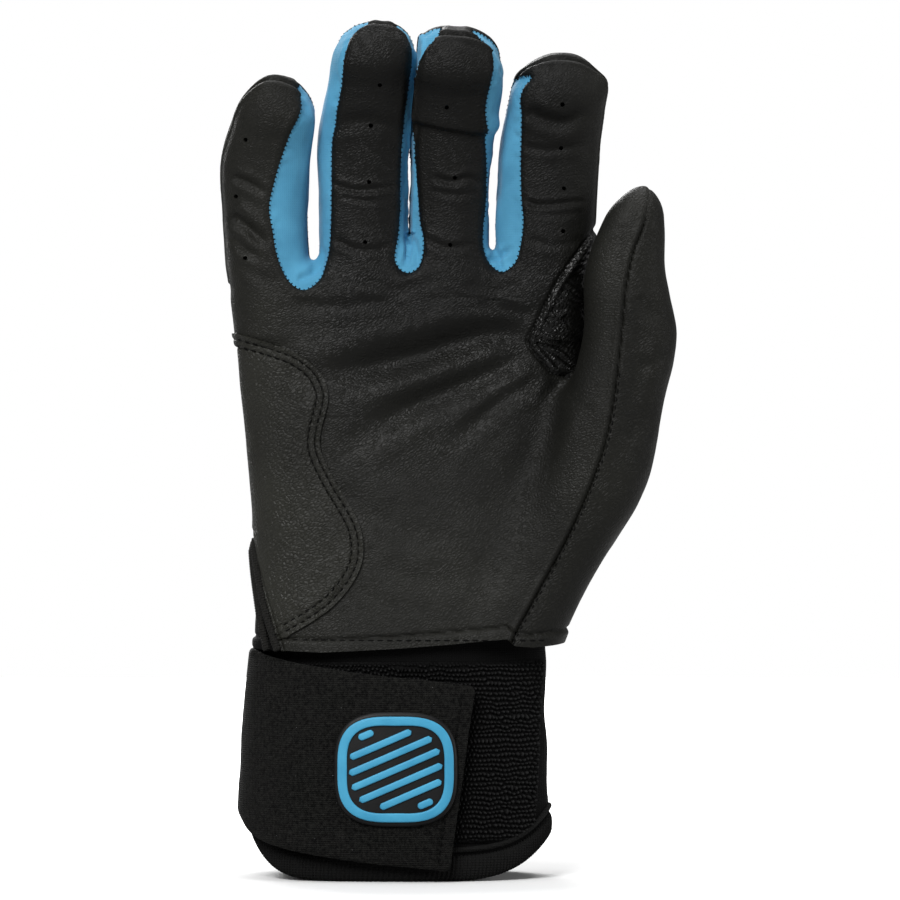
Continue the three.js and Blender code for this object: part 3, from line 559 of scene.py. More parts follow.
# %% Drawn creases: line, depth, width
CREASES = [
    ([(34.6, 211.6), (40, 208.6), (46, 208), (51.5, 212)], 0.8, 1.6),
    ([(-20, 206.5), (-10, 208.5), (1, 206)], 0.45, 1.8),
    ([(-19, 191.5), (-13, 189.6), (-6, 189.9), (0, 191)], 0.5, 0.8),
    ([(-17, 188), (-9, 186.6), (-2, 187.6)], 0.25, 0.8),
    ([(-18.5, 176.5), (-12, 173.2), (-5, 173.4), (-1, 176)], 0.45, 1.0),
    ([(9, 193.2), (14, 191.8), (19, 192.8), (23, 191)], 0.55, 0.8),
    ([(8, 189), (16, 188.2), (23, 189)], 0.25, 0.8),
    ([(7, 176.4), (13, 173.6), (21.5, 175)], 0.45, 1.0),
    ([(33.5, 202), (41, 200.4), (53, 202.5)], 0.3, 1.0),
    ([(34, 187.2), (38, 185.4), (46, 186), (53.5, 187)], 0.6, 0.8),
    ([(36, 183.6), (44, 182.8), (52, 184)], 0.25, 0.9),
    ([(35, 176.2), (42, 174.4), (52, 176)], 0.3, 1.1),
    ([(-46.5, 193.4), (-42, 191.5), (-36, 188.2)], 0.8, 1.1),
    ([(-47, 183), (-42, 179), (-36, 174)], 1.4, 1.6),
    ([(-46.5, 177.6), (-42, 173), (-36, 168.5)], 0.8, 1.4),
    ([(-45, 170.5), (-40, 167), (-33, 163)], 0.35, 1.6),
    ([(36.5, 150.5), (22, 149), (7, 145), (-7, 141.4), (-22, 138), (-34, 136)], 2.2, 3.6),
    ([(36.5, 146), (27.5, 140.8), (15, 135.3), (1.4, 129), (-10, 122), (-18, 116)], 1.8, 3.2),
    ([(39, 138), (29, 132.5), (23.4, 128), (12, 117)], 0.9, 2.1),
    ([(44.2, 137), (42, 133.5), (37.5, 130)], 0.5, 1.8),
    ([(43, 131), (39, 122), (32, 111), (22, 100)], 0.4, 3.4),
    ([(2, 177.5), (2.4, 173), (1, 168)], 0.8, 0.7),
    ([(3.4, 177), (4.3, 172), (4.6, 168)], 0.6, 0.7),
    ([(-28.5, 164.6), (-25, 166.4), (-22, 169.5), (-21, 175)], 0.7, 0.9),
    ([(24.2, 170.4), (27.5, 171.8), (31.5, 174.2)], 0.8, 0.8),
    ([(27.6, 167.8), (27, 170.6), (25.4, 176)], 0.6, 0.7),
    ([(37, 154), (30, 157), (22, 157.5), (12, 156)], 0.5, 1.8),
    ([(-30, 158.5), (-20, 157.5), (-6, 158.8), (8, 161)], 0.35, 1.6),
    ([(-12, 165.8), (-3, 162.2), (6, 163.4), (14, 166)], 0.4, 1.4),
    ([(18, 164), (27, 161.6), (36, 165)], 0.4, 1.4),
    ([(-17, 108), (-8, 100), (2, 95.5), (14, 93)], 0.35, 3.0),
    ([(-6, 87), (4, 83), (18, 80.5)], 0.3, 2.6),
    ([(52, 131), (50.5, 120), (46, 108)], 0.4, 2.2),
    ([(65, 160), (69, 155), (74, 152.5)], 0.6, 1.8),
    ([(66, 140), (70, 142), (74.5, 146)], 0.4, 1.8),
    ([(62, 120), (66, 124), (70, 131)], 0.4, 2.0),
]
LIP_SHARE, LIP_AWAY = 0.4, 2.1


def bell(distance, width):
    """A soft bump of height 1."""
    return np.exp(-((distance / width) ** 2))


def unit(vectors):
    """Vectors brought to length 1."""
    return vectors / np.maximum(np.linalg.norm(vectors, axis=-1, keepdims=True), 1e-9)


normal = unit(read_field(field, (skin - grid_low) / STEP)[1])
facing = np.clip(-normal[:, 1] * 1.6, 0, 1)
fine_lines = soft_noise(skin * [0.35, 0.35, 1.0], 1.5, 5)
relief = np.zeros(len(skin))
for drawn, depth, width in CREASES:
    distance, share = line_distance(smooth_line(drawn), x, z)
    fade = np.clip(np.minimum(share * 10, (1 - share) * 2.5), 0, 1) * facing
    relief -= fade * depth * (bell(distance, width) - LIP_SHARE * bell(distance - LIP_AWAY * width, width))
    if width < 2:
        relief += 0.05 * fade * fine_lines * bell(distance, 4 * width)
print(len(CREASES), "creases, the deepest", -relief.min().round(2), "mm")

# %% [markdown]
# ## Steps, grooves and welts along the seams
# Leather dips at a sewn seam and swells beside it, and the stretch cloth lies a little lower than
# the leather. Each row of the two tables is one such form, in millimetres out of the skin: a step
# across a seam, or a groove or welt that runs along it at a distance inside the panel.

# %% Seams in relief
LEATHER_OUT = 0.2


def ramp(value, width):
    """Rises softly from 0 to 1 where a seam value passes zero."""
    return 1 / (1 + np.exp(-value / width))


# Each step: seam value, width, height.
steps = [
    (strip_value, 0.22, -0.6),
    (keystone_value, 0.3, 0.35),
    (slit_value, 0.25, -1.1),
    (seam_values["band"], 0.3, -0.45),
]
# Each groove or welt: seam value, distance inside the panel, width, height.
welts = [
    (strip_value, -1.6, 1.1, 0.25),
    (keystone_value, 0.0, 0.5, -0.8),
    (keystone_value, 1.3, 0.7, 0.5),
    (slit_value, -1.1, 0.5, -0.8),
    *[(patch_edge, inset, 0.5, -0.35) for inset in PATCH_ROWS],
    (patch_edge, sum(PATCH_ROWS) / 2, 0.5, 0.3),
]
relief += LEATHER_OUT
for value, width, height in steps:
    relief += height * ramp(value, width)
for value, inset, width, height in welts:
    relief += height * bell(value - inset, width)
print("steps:", len(steps), "grooves and welts:", len(welts))

# %% [markdown]
# ## Forms of single places
# The pad of the middle finger hangs over in a fold, and the palm is hollow in its middle. At the
# fingertips the front leather stands over the rim of the back leather. The thumb seam fades out
# near the tip, and the hem is rolled over and sewn down. These forms hold in some places only, so
# each has its own lines.

# %% Pad, palm, finger seams, thumb seam and hem
PAD_FOLD = [(2, 209), (6, 207.6), (12, 206), (20, 204.7), (27, 205.2)]
PALM_HOLLOW, HOLLOW_WIDE, HOLLOW_SIZE = (10, 141), 1.4, 17
FINGER_SEAM_FROM = FINGER_CUT - 14
SEAM_FADE_FROM, SEAM_FADE = 187, 8
HEM_FOLD, HEM_SEWN, HEM_REACH = 3.0, 3.5, 7
leather = (strip_value < 0) & ~on_thumb
on_pad = (own_finger == 2) & ~on_thumb
overhang = 1.5 * ramp(z - height_at(PAD_FOLD, x), 0.35) - 0.75
from_fold = line_distance(smooth_line(PAD_FOLD), x, z)[0]
relief += np.where(on_pad, facing * overhang * bell(from_fold, 5.5), 0)
from_hollow = np.hypot((x - PALM_HOLLOW[0]) / HOLLOW_WIDE, z - PALM_HOLLOW[1])
relief -= 2.6 * facing * bell(from_hollow, HOLLOW_SIZE)
relief += np.where(leather, 0.55 * np.minimum(tip * 2, 1) * ramp(front, 0.2), 0)
seam_front = np.abs(own_front)
finger_seam = 0.9 * bell(seam_front, 0.7) - 0.45 * bell(seam_front - 1.7, 0.9)
relief -= np.where(leather & (z > FINGER_SEAM_FROM), finger_seam, 0)
relief -= np.where((z < FINGER_ROOT) & (x < 0) & ~on_thumb, 0.5 * bell(y, 0.9), 0)
seam_fade = np.clip((SEAM_FADE_FROM - z) / SEAM_FADE, 0.25, 1)
step_down = 0.6 * np.clip(1 - side_value / 6, 0, 1) * ramp(side_value, 0.2)
thumb_seam = 0.9 * bell(side_value, 0.45) + step_down - 0.45 * bell(side_value + 1.2, 0.8)
relief -= seam_fade * thumb_seam
relief -= np.where(before_thumb, 1.8 * bell(side_value - 6, 3.8) * bell(z - 133, 27), 0)
hem_value = seam_values["hem"]
rolled = 0.7 * ramp(HEM_FOLD - hem_value, 0.25) - 0.5 * bell(hem_value - HEM_SEWN, 0.45)
relief += np.where(hem_value < HEM_REACH, rolled, 0)
print("folds and seams from", relief.min().round(2), "to", relief.max().round(2), "mm")

# %% [markdown]
# ## Gathers, crinkles and swelling
# Stretch cloth puckers along its seam, and the keystone is crinkled because it folds whenever the
# thumb moves. Soft noise gives the puckers, and a wave that wanders gives the crinkles. The last
# lines swell the two fingers that touch, so that no light shows between them.

# %% Gathers, crinkles and swelling
PAD_LIP, TIP_CORNER = (27.0, 207.5), (56.2, 219.5)
CRINKLE = 2.7
on_strip = strip_value > 0
relief += np.where(on_strip, 0.34 * soft_noise(skin * [1, 1, 0.4], 4.5, 3), 0)
relief += np.where(on_strip, 0.3 * soft_noise(skin, 2.0, 13) * bell(strip_value - 1.0, 1.4), 0)
wander = z + 0.3 * x + 2.2 * soft_noise(skin, 6, 9)
crinkles = np.sin(wander * math.tau / CRINKLE) * (0.4 + 0.5 * soft_noise(skin, 4, 10))
relief += np.where(keystone_value > 2, 0.55 * crinkles + 0.15 * soft_noise(skin, 2.2, 11), 0)
relief += np.where(own_finger == 2, 0.9 * bell(away_from(PAD_LIP), 2.2), 0)
relief += np.where(x > 50, bell(away_from(TIP_CORNER), 2.6), 0)
relief += 0.35 * soft_noise(skin, 22, 1) + 0.1 * soft_noise(skin * [1, 1, 1.6], 9, 2)
relief += 0.03 * soft_noise(skin, 3.2, 4)
apart = (finger_fields[1] - finger_fields[2]) / 2 + PART_LEAN[1] * y
swelling = 0.7 * bell(np.abs(apart) - PART_GAP, 0.25)
relief += np.where((z > FINGER_CUT) & ~on_thumb, swelling, 0)
skin = skin + relief[:, None] * normal
print("relief from", relief.min().round(2), "to", relief.max().round(2), "mm")

# %% [markdown]
# ## Cutting the panels
# A cut divides every triangle that the seam value crosses, so the edge of a panel follows the
# drawn line and not the grid. Blender's bisect cuts along flat planes only, so this cutter is our
# own. All values of the points travel with them in one table, and the next cut can use them.

# %% Cutter
PLACE, NORMAL = slice(0, 3), slice(3, 6)
COLUMN = {name: 6 + i for i, name in enumerate(seam_values)}


def shade_normals(points, faces):
    """The direction out of the skin at each point."""
    across = np.cross(points[faces[:, 1]] - points[faces[:, 0]], points[faces[:, 2]] - points[faces[:, 0]])
    total = np.zeros_like(points)
    for corner in range(3):
        np.add.at(total, faces[:, corner], across)
    return unit(total)


def trim(table, faces):
    """A sheet of some of the faces, with only the points that they use."""
    used, faces = np.unique(faces, return_inverse=True)
    return table[used], faces.reshape(-1, 3)


def cut(sheet, value):
    """Divides a sheet (table, faces) where a value is zero: the part above zero and the part below."""
    table, faces = sheet
    above = value > 0
    number = above[faces].sum(1)
    mixed = faces[(number == 1) | (number == 2)]
    lone = above[mixed] == (above[mixed].sum(1) == 1)[:, None]
    turn = lone.argmax(1)
    a, b, c = (mixed[np.arange(len(mixed)), (turn + i) % 3] for i in range(3))
    edges = np.sort(np.concatenate([np.stack([a, b], 1), np.stack([a, c], 1)]), 1)
    kept, which = np.unique(edges, axis=0, return_inverse=True)
    first, second = value[kept[:, 0]], value[kept[:, 1]]
    share = np.clip(first / (first - second + TINY), 0.04, 0.96)[:, None]
    table = np.vstack([table, table[kept[:, 0]] * (1 - share) + table[kept[:, 1]] * share])
    p, q = np.split(len(above) + which.ravel(), 2)
    tips = np.stack([a, p, q], 1)
    bases = np.concatenate([np.stack([p, b, c], 1), np.stack([p, c, q], 1)])
    up = above[a]
    both = np.concatenate([up, up])
    return (
        trim(table, np.concatenate([faces[number == 3], tips[up], bases[~both]])),
        trim(table, np.concatenate([faces[number == 0], tips[~up], bases[both]])),
    )


def values(sheet, name):
    """One seam value of all points of a sheet."""
    return sheet[0][:, COLUMN[name]]


whole = (np.column_stack([skin, shade_normals(skin, faces), *seam_values.values()]), faces)
whole = cut(whole, values(whole, "hem"))[0]
print("skin above the hem:", len(whole[1]), "triangles")

# %% [markdown]
# ## Clean cuts
# A seam that grazes the form can leave crumbs: specks of one panel inside another. A maker would
# trim them off. Here they are found before the cut, as small groups of points that hang together,
# and their value is turned over to the side that surrounds them.

# %% Parts that hang together
SPECK = 100


def edge_pairs(faces):
    """The three edges of every triangle."""
    return np.concatenate([faces[:, [0, 1]], faces[:, [1, 2]], faces[:, [2, 0]]])


def part_numbers(count, groups):
    """Numbers points by the part that they hang together in. A row of `groups` names points that touch."""
    label = np.arange(count)
    while True:
        least = label[groups].min(1)
        fresh = label.copy()
        for corner in range(groups.shape[1]):
            np.minimum.at(fresh, groups[:, corner], least)
        fresh = fresh[fresh]
        if (fresh == label).all():
            return label
        label = fresh


def settle(sheet, name):
    """A seam value whose specks are turned over to the other side, so that the cut leaves no crumbs."""
    value, edges = values(sheet, name).copy(), edge_pairs(sheet[1])
    for side in (1, -1):
        label = part_numbers(len(value), edges[(value[edges] * side > 0).all(1)])
        _, which, sizes = np.unique(label, return_inverse=True, return_counts=True)
        value[(sizes[which] < SPECK) & (value * side > 0)] = -0.2 * side
    return value


def islands(sheet, at_least=60):
    """The separate parts of a sheet, largest first."""
    table, faces = sheet
    label = part_numbers(len(table), faces)
    names, sizes = np.unique(label[faces[:, 0]], return_counts=True)
    order = [n for n, s in sorted(zip(names, sizes), key=lambda pair: -pair[1]) if s >= at_least]
    return [trim(table, faces[label[faces[:, 0]] == n]) for n in order]


def nearest_to(sheet, middles, which):
    """The faces of a sheet that lie nearest to one of several positions across the hand."""
    table, faces = sheet
    across = table[faces, 0].mean(1)
    return trim(table, faces[np.abs(across[:, None] - middles).argmin(1) == which])


upper, hand = cut(whole, np.where(values(whole, "on_thumb") > 0.5, -1, whole[0][:, 2] - FINGER_CUT))
thumb, hand = cut(hand, np.where(values(hand, "on_thumb") > 0.5, hand[0][:, 2] - THUMB_CUT, -1))
fingers = dict(zip(FINGERS, sorted(islands(upper), key=lambda sheet: sheet[0][:, 0].mean())))
print("finger faces:", {name: len(sheet[1]) for name, sheet in fingers.items()})
print("thumb faces:", len(thumb[1]), "hand faces:", len(hand[1]))

# %% [markdown]
# ## From sheet to panel
# A panel is a sheet with a thickness: an outer face, an inner face and a wall along every edge,
# so that it is a closed body. Blender's Solidify modifier could do this too. Here the wall is made
# from the sheet's own normals, so neighbouring panels meet without a gap. Each mesh keeps its
# resting place in an attribute called `rest`, which the materials use, so the grain stays in the
# leather when a finger bends.

# %% Panel maker
SKIN_THICK = 0.9


def open_edges(faces, count):
    """Edges that belong to one triangle only: the rim of a sheet."""
    edges = edge_pairs(faces)
    _, index, times = np.unique(np.sort(edges, 1) @ [count + 1, 1], return_index=True, return_counts=True)
    return edges[index[times == 1]]


def mesh_of(name, points, faces, sharp=50):
    """A Blender mesh from points in millimetres. Faces are triangles or quads in one array."""
    mesh = bpy.data.meshes.new(name)
    faces = np.asarray(faces, np.int32)
    places = (np.asarray(points) * MM).ravel().astype(np.float32)
    mesh.vertices.add(len(points))
    mesh.vertices.foreach_set("co", places)
    mesh.loops.add(faces.size)
    mesh.loops.foreach_set("vertex_index", faces.ravel())
    mesh.polygons.add(len(faces))
    mesh.polygons.foreach_set("loop_start", np.arange(0, faces.size, faces.shape[1], dtype=np.int32))
    mesh.update(calc_edges=True)
    mesh.attributes.new("rest", "FLOAT_VECTOR", "POINT").data.foreach_set("vector", places)
    mesh.shade_smooth()
    mesh.set_sharp_from_angle(angle=math.radians(sharp))
    return mesh


def panel_mesh(name, sheet, lift):
    """A sheet made into a closed panel."""
    table, faces = sheet
    normal = unit(table[:, NORMAL])
    outer = table[:, PLACE] + lift * normal
    inner = outer - SKIN_THICK * normal
    n = len(outer)
    start, end = open_edges(faces, n).T
    walls = [np.stack([end, start, start + n], 1), np.stack([end, start + n, end + n], 1)]
    return mesh_of(name, np.vstack([outer, inner]), np.concatenate([faces, faces[:, ::-1] + n, *walls]))


def place(mesh, material, slot, nodes=(), rides="hand", bends=None):
    """Puts a mesh in the scene. Without `bends` it rides on a body; with `bends` it stays fixed where it is.
    """
    piece = bpy.data.objects.new(mesh.name, mesh)
    bpy.context.scene.collection.objects.link(piece)
    mesh.materials.append(material)
    if bends:
        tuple(bends[0])
        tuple(bends[1])
        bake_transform(piece)
    else:
        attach(piece, rides)
    if nodes:
        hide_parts(*nodes)
    return piece


def panel(name, sheet, material, slot, nodes=(), lift=0.0, **ways):
    """A panel of the skin in its place."""
    return place(panel_mesh(name, sheet, lift), material, slot, nodes, **ways)


FINGER_BEND, THUMB_BEND = 14.0, 15
FINGER_BENDS = ((0, 0, FINGER_CUT * MM), (0, 0, (FINGER_CUT + FINGER_BEND) * MM))
THUMB_BENDS = ((0, 0, THUMB_CUT * MM), (0, 0, (THUMB_CUT + THUMB_BEND) * MM))
print("fingers bend between", FINGER_CUT, "and", FINGER_CUT + FINGER_BEND, "mm")

# %% [markdown]
# ## Materials
# All finishes are made of nodes. A material in Blender is a board of nodes with links between
# them, and laying it out by hand takes many lines. So these helpers give each pattern a short
# word: noise, cells, waves. All read the `rest` place of a point, in metres.


# %% Node board
class NodeBoard:
    """Short words for laying out nodes."""

    def __init__(self, tree):
        self.nodes, self.links = tree.nodes, tree.links

    def feed(self, socket, value):
        """Gives a socket a plain value, or a link from another node."""
        if isinstance(value, (int, float, tuple, list)):
            socket.default_value = value
        else:
            self.links.new(value, socket)

    def add(self, kind, inputs=(), **settings):
        """A new node with its settings and inputs. Gives its outputs."""
        node = self.nodes.new(f"ShaderNode{kind}")
        for word, setting in settings.items():
            setattr(node, word, setting)
        for key, value in dict(inputs).items():
            self.feed(node.inputs[key], value)
        return node.outputs

    def math(self, how, *terms):
        """A sum, product or other calculation of numbers."""
        return self.add("Math", dict(enumerate(terms)), operation=how)[0]


print("a board of nodes has the words", [word for word in vars(NodeBoard) if word[0] != "_"])

# %% [markdown]
# ### One finish
# A finish is a board with a shader on it. It adds the patterns of cloth and leather, and at the
# end it feeds colour, roughness and bump to the shader in one call.


# %% Finish of a material
class Finish(NodeBoard):
    """One material, with its patterns laid on the rest place."""

    def __init__(self, name):
        self.material = bpy.data.materials.new(name)
        self.material.use_nodes = True
        super().__init__(self.material.node_tree)
        self.shader = self.nodes["Principled BSDF"]
        self.rest = self.add("Attribute", attribute_name="rest")["Vector"]

    def stretch(self, scale):
        """The rest place, stretched along its axes."""
        return self.add("Mapping", {"Scale": scale, "Vector": self.rest})["Vector"]

    def noise(self, per_mm, detail=3.0, rough=0.55, vector=None):
        """Cloudy noise, by the number of its bumps on a millimetre."""
        inputs = {"Scale": per_mm / MM, "Detail": detail, "Roughness": rough, "Vector": vector or self.rest}
        return self.add("TexNoise", inputs)["Fac"]

    def cells(self, per_mm, feature="F1", vector=None):
        """Cells of a Voronoi pattern, by their number on a millimetre."""
        inputs = {"Scale": per_mm / MM, "Vector": vector or self.rest}
        return self.add("TexVoronoi", inputs, feature=feature)["Distance"]

    def drawn_out(self, size, turn, ruffle_mm):
        """The rest place, ruffled by noise, and drawn out along a line that is turned in the front view."""
        ruffle = self.add("TexNoise", {"Scale": 600, "Vector": self.rest})["Color"]
        inputs = {0: ruffle, 1: [ruffle_mm * MM] * 3, 2: self.rest}
        ruffled = self.add("VectorMath", inputs, operation="MULTIPLY_ADD")[0]
        inputs = {"Rotation": (0, turn, 0), "Scale": size, "Vector": ruffled}
        return self.add("Mapping", inputs, vector_type="TEXTURE")["Vector"]

    def spread(self, value, low, high, out_low, out_high):
        """Stretches the range from low to high on to another one."""
        inputs = {"Value": value, "From Min": low, "From Max": high, "To Min": out_low, "To Max": out_high}
        return self.add("MapRange", inputs)["Result"]

    def blend(self, share, first, second):
        """A colour between two others."""
        return self.add("Mix", {"Factor": share, 6: first, 7: second}, data_type="RGBA")[2]

    def waves(self, axis, per_mm, bend):
        """Ridges across one axis of the rest place, from 0 to 1."""
        inputs = {"Scale": per_mm / MM * math.tau / 20, "Distortion": bend, "Vector": self.rest}
        return self.add("TexWave", inputs, bands_direction=axis)["Fac"]

    def finish(self, colour, rough, height, depth_mm, sheen=0.0, specular=0.5):
        """Feeds the patterns to the shader, with a bump of a depth in millimetres."""
        bump = self.add("Bump", {"Height": height, "Distance": depth_mm * MM})["Normal"]
        inputs = {"Base Color": colour, "Roughness": rough, "Specular IOR Level": specular, "Normal": bump,
                  "Sheen Weight": sheen, "Sheen Roughness": 0.5}
        for key, value in inputs.items():
            self.feed(self.shader.inputs[key], value)
        return self.material


def shade(*screen):
    """A colour as seen on screen, 0 to 255, as the linear light that nodes use."""
    shares = [c / 255 for c in screen]
    return (*[c / 12.92 if c <= 0.04045 else ((c + 0.055) / 1.055) ** 2.4 for c in shares], 1.0)


print("a dark grey of 36 on screen is", round(shade(36, 36, 36)[0], 4), "in linear light")

# %% [markdown]
# ## Goatskin
# Goatskin has a fine pebble that is really a net of tiny folds. A Voronoi pattern gives the cells,
# noise breaks their regularity, and pores are small dots between them. A slow noise lightens worn
# places. Painted shade darkens the colour upwards from the wrist to the fingers, less so on the
# little finger and the thumb, and there the leather is a little glossier too. All four leathers
# come from one recipe, so they look like hides of one animal.


# %% Goatskin
def goatskin(name, dark, light, pebble=1.25, depth=0.13, rough=(0.4, 0.58), shine=0.16):
    """Leather with pebbles, wrinkles and pores, with painted shade towards the fingers."""
    f = Finish(name)
    wobble = f.noise(0.35, 2.0)
    folds = f.cells(pebble, "DISTANCE_TO_EDGE", f.drawn_out((1.5, 1.0, 0.85), -0.6, 0.5))
    fine = f.noise(2.6, 4.0, 0.65)
    wrinkles = f.noise(0.8, 3.0, 0.6, f.drawn_out((2.4, 1.0, 0.8), -0.5, 0.8))
    pores = f.cells(0.55, "F1", f.stretch((1.0, 1.0, 0.7)))
    pebbles = f.spread(folds, 0.0, 0.3, 0.0, 1.0)
    grain = f.math("MULTIPLY", pebbles, f.spread(wobble, 0.3, 0.7, 0.4, 1.0))
    height = f.math("ADD", f.math("MULTIPLY_ADD", fine, 0.2, grain), f.math("MULTIPLY", wrinkles, 0.7))
    height = f.math("MULTIPLY_ADD", f.math("LESS_THAN", pores, 0.08), -0.6, height)
    worn = f.noise(0.04, 3.0, 0.5)
    share = f.math("MULTIPLY_ADD", pebbles, 0.35, f.spread(worn, 0.3, 0.7, 0.1, 0.65))
    place_x, _, place_z = f.add("SeparateXYZ", {"Vector": f.rest})
    # Painted shade: a share that rises towards the fingers and fades out towards the little finger and the
    # thumb.
    painted_shade_zone = f.spread(place_z, 0.08, 0.158, 0.0, 0.84)
    painted_shade_zone = f.math("MULTIPLY", painted_shade_zone, f.spread(place_x, -0.038, -0.015, 0.0, 1.0))
    painted_shade_zone = f.math("MULTIPLY", painted_shade_zone, f.spread(place_x, 0.042, 0.056, 1.0, 0.0))
    # The painted shade blends the colour towards a near-black of 7 on screen.
    colour = f.blend(painted_shade_zone, f.blend(share, dark, light), shade(7, 7, 6))
    gloss = f.math("MULTIPLY_ADD", fine, 0.3, f.math("MULTIPLY", worn, 0.7))
    rub = f.math("MULTIPLY_ADD", painted_shade_zone, -0.04, f.spread(gloss, 0.35, 0.65, rough[1], rough[0]))
    return f.finish(colour, rub, height, depth, specular=shine)


goat = goatskin("palm_goatskin", shade(17, 17, 15), shade(36, 36, 32))
goat_back = goatskin("back_goatskin", shade(15, 15, 13), shade(31, 31, 27), pebble=1.1)
goat_patch = goatskin("patch_goatskin", shade(22, 22, 19), shade(45, 45, 40), 1.0, 0.22, shine=0.2)
wet_look = dict(rough=(0.28, 0.42), shine=0.28)
goat_keystone = goatskin("keystone_goatskin", shade(7, 7, 6), shade(16, 16, 14), 1.0, 0.2, **wet_look)
print("goatskins:", len(bpy.data.materials))

# %% [markdown]
# ## Cloth, pile and rubber
# The knit strips, the elastic and the cuff cloth get their weave from waves across the `rest`
# place of each point, with a noise for the fuzz. The strap carries a few specks of lint. Loop pile
# gets a painted highlight on top of each thread loop and painted shade between them, and moulded
# rubber is nearly even.


# %% Knits, elastic, tape, pile, thread and rubber
def stretch_knit(name, shadow, body, ribs=1.5):
    """Fine knit: loops in rows and columns, with a soft fuzz."""
    f = Finish(name)
    loops = f.math("MULTIPLY", f.waves("Z", ribs, 0.6), f.waves("X", ribs * 1.2, 0.6))
    fuzz = f.noise(3.5)
    cloud = f.spread(f.noise(0.09), 0.3, 0.7, 0.25, 0.85)
    colour = f.blend(f.math("ADD", cloud, f.math("MULTIPLY", loops, 0.08)), shadow, body)
    height = f.math("ADD", f.math("MULTIPLY", loops, 0.5), f.math("MULTIPLY", fuzz, 0.6))
    return f.finish(colour, f.spread(fuzz, 0.3, 0.7, 0.7, 0.9), height, 0.08, sheen=0.12, specular=0.3)


def woven(name, shadow, body, rows, columns, depth=0.16, specks=0.0, shine=0.08, fuzz_per_mm=2.2):
    """Woven cloth or thread, by its rows and columns on a millimetre."""
    f = Finish(name)
    weave = f.math("MAXIMUM", f.waves("Z", rows, 0.3), f.math("MULTIPLY", f.waves("X", columns, 0.3), 0.85))
    fuzz = f.noise(fuzz_per_mm, 4.0, 0.7)
    share = f.math("MULTIPLY", f.spread(weave, 0.0, 1.0, 0.65, 1.0), f.spread(fuzz, 0.36, 0.66, 0.0, 1.0))
    colour = f.blend(share, shadow, body)
    if specks:
        lint = f.math("LESS_THAN", f.cells(0.34), specks)
        colour = f.blend(f.math("MULTIPLY", lint, 0.6), colour, shade(120, 120, 122))
    height = f.math("ADD", weave, f.math("MULTIPLY", fuzz, 0.6))
    return f.finish(colour, f.spread(fuzz, 0.3, 0.7, 0.7, 0.95), height, depth, sheen=0.01, specular=shine)


def loop_pile(name, valley, crown):
    """Thread loops with a painted highlight on top and painted shade between: `knob` is a mesh attribute, 0
    in the valleys and 1 on top.
    """
    f = Finish(name)
    # The knob height drives both the painted highlight on the loops and the painted shade between them.
    knob = f.math("POWER", f.add("Attribute", attribute_name="knob")["Fac"], 2.5)
    fibres = f.noise(3.0, 3.0, 0.7)
    lit = f.math("MULTIPLY", knob, f.spread(fibres, 0.3, 0.7, 0.3, 1.3))
    dullness = f.spread(fibres, 0.3, 0.7, 0.5, 0.8)
    return f.finish(f.blend(lit, valley, crown), dullness, fibres, 0.1, specular=0.08)


def moulded(name, shadow, body, rough):
    """Rubber from a mould, nearly even."""
    f = Finish(name)
    cloud = f.noise(0.12)
    colour = f.blend(f.spread(cloud, 0.3, 0.7, 0.2, 0.9), shadow, body)
    gloss = f.spread(cloud, 0.3, 0.7, rough - 0.08, rough + 0.08)
    return f.finish(colour, gloss, f.noise(1.8), 0.05, specular=0.25)


blue_knit = stretch_knit("blue_stretch_knit", shade(56, 122, 156), shade(84, 158, 194))
ribbed_knit = stretch_knit("black_ribbed_knit", shade(16, 16, 16), shade(30, 30, 30), ribs=0.6)
neoprene = woven("cuff_neoprene", shade(4, 4, 4), shade(11, 11, 11), 1.6, 1.6, depth=0.1)
elastic = woven("strap_elastic", shade(2, 2, 2), shade(37, 37, 35), 1.7, 2.3, 0.24, 0.04, fuzz_per_mm=1.2)
slit_tape = woven("slit_tape", shade(8, 8, 7), shade(36, 35, 32), 1.6, 1.6, shine=0.2)
tape = woven("binding_tape", shade(4, 4, 4), shade(22, 22, 21), 1.4, 1.4, shine=0.16)
# Loop pile: near-black painted shade in the valleys, a grey of 44 as painted highlight on the loops.
pile = loop_pile("loop_pile", shade(1, 1, 1), shade(44, 44, 44))
hook_tape = woven("hook_tape", shade(9, 9, 9), shade(24, 24, 24), 0.9, 0.9, depth=0.3)
thread = woven("black_thread", shade(5, 5, 5), shade(15, 15, 14), 3.0, 3.0, depth=0.05)
badge_rubber = moulded("badge_rubber", shade(8, 8, 9), shade(17, 18, 19), 0.5)
badge_blue = moulded("badge_blue_rubber", shade(58, 146, 186), shade(76, 168, 206), 0.45)
print("materials:", len(bpy.data.materials))

# %% [markdown]
# ## Sewing up the fingers
# Each finger has a front leather, a back leather and one or two stretch strips. The sheet is cut
# first along the strips and then along the side seam. The vent holes are cut right through the
# front leather, and the hollow finger makes them dark.

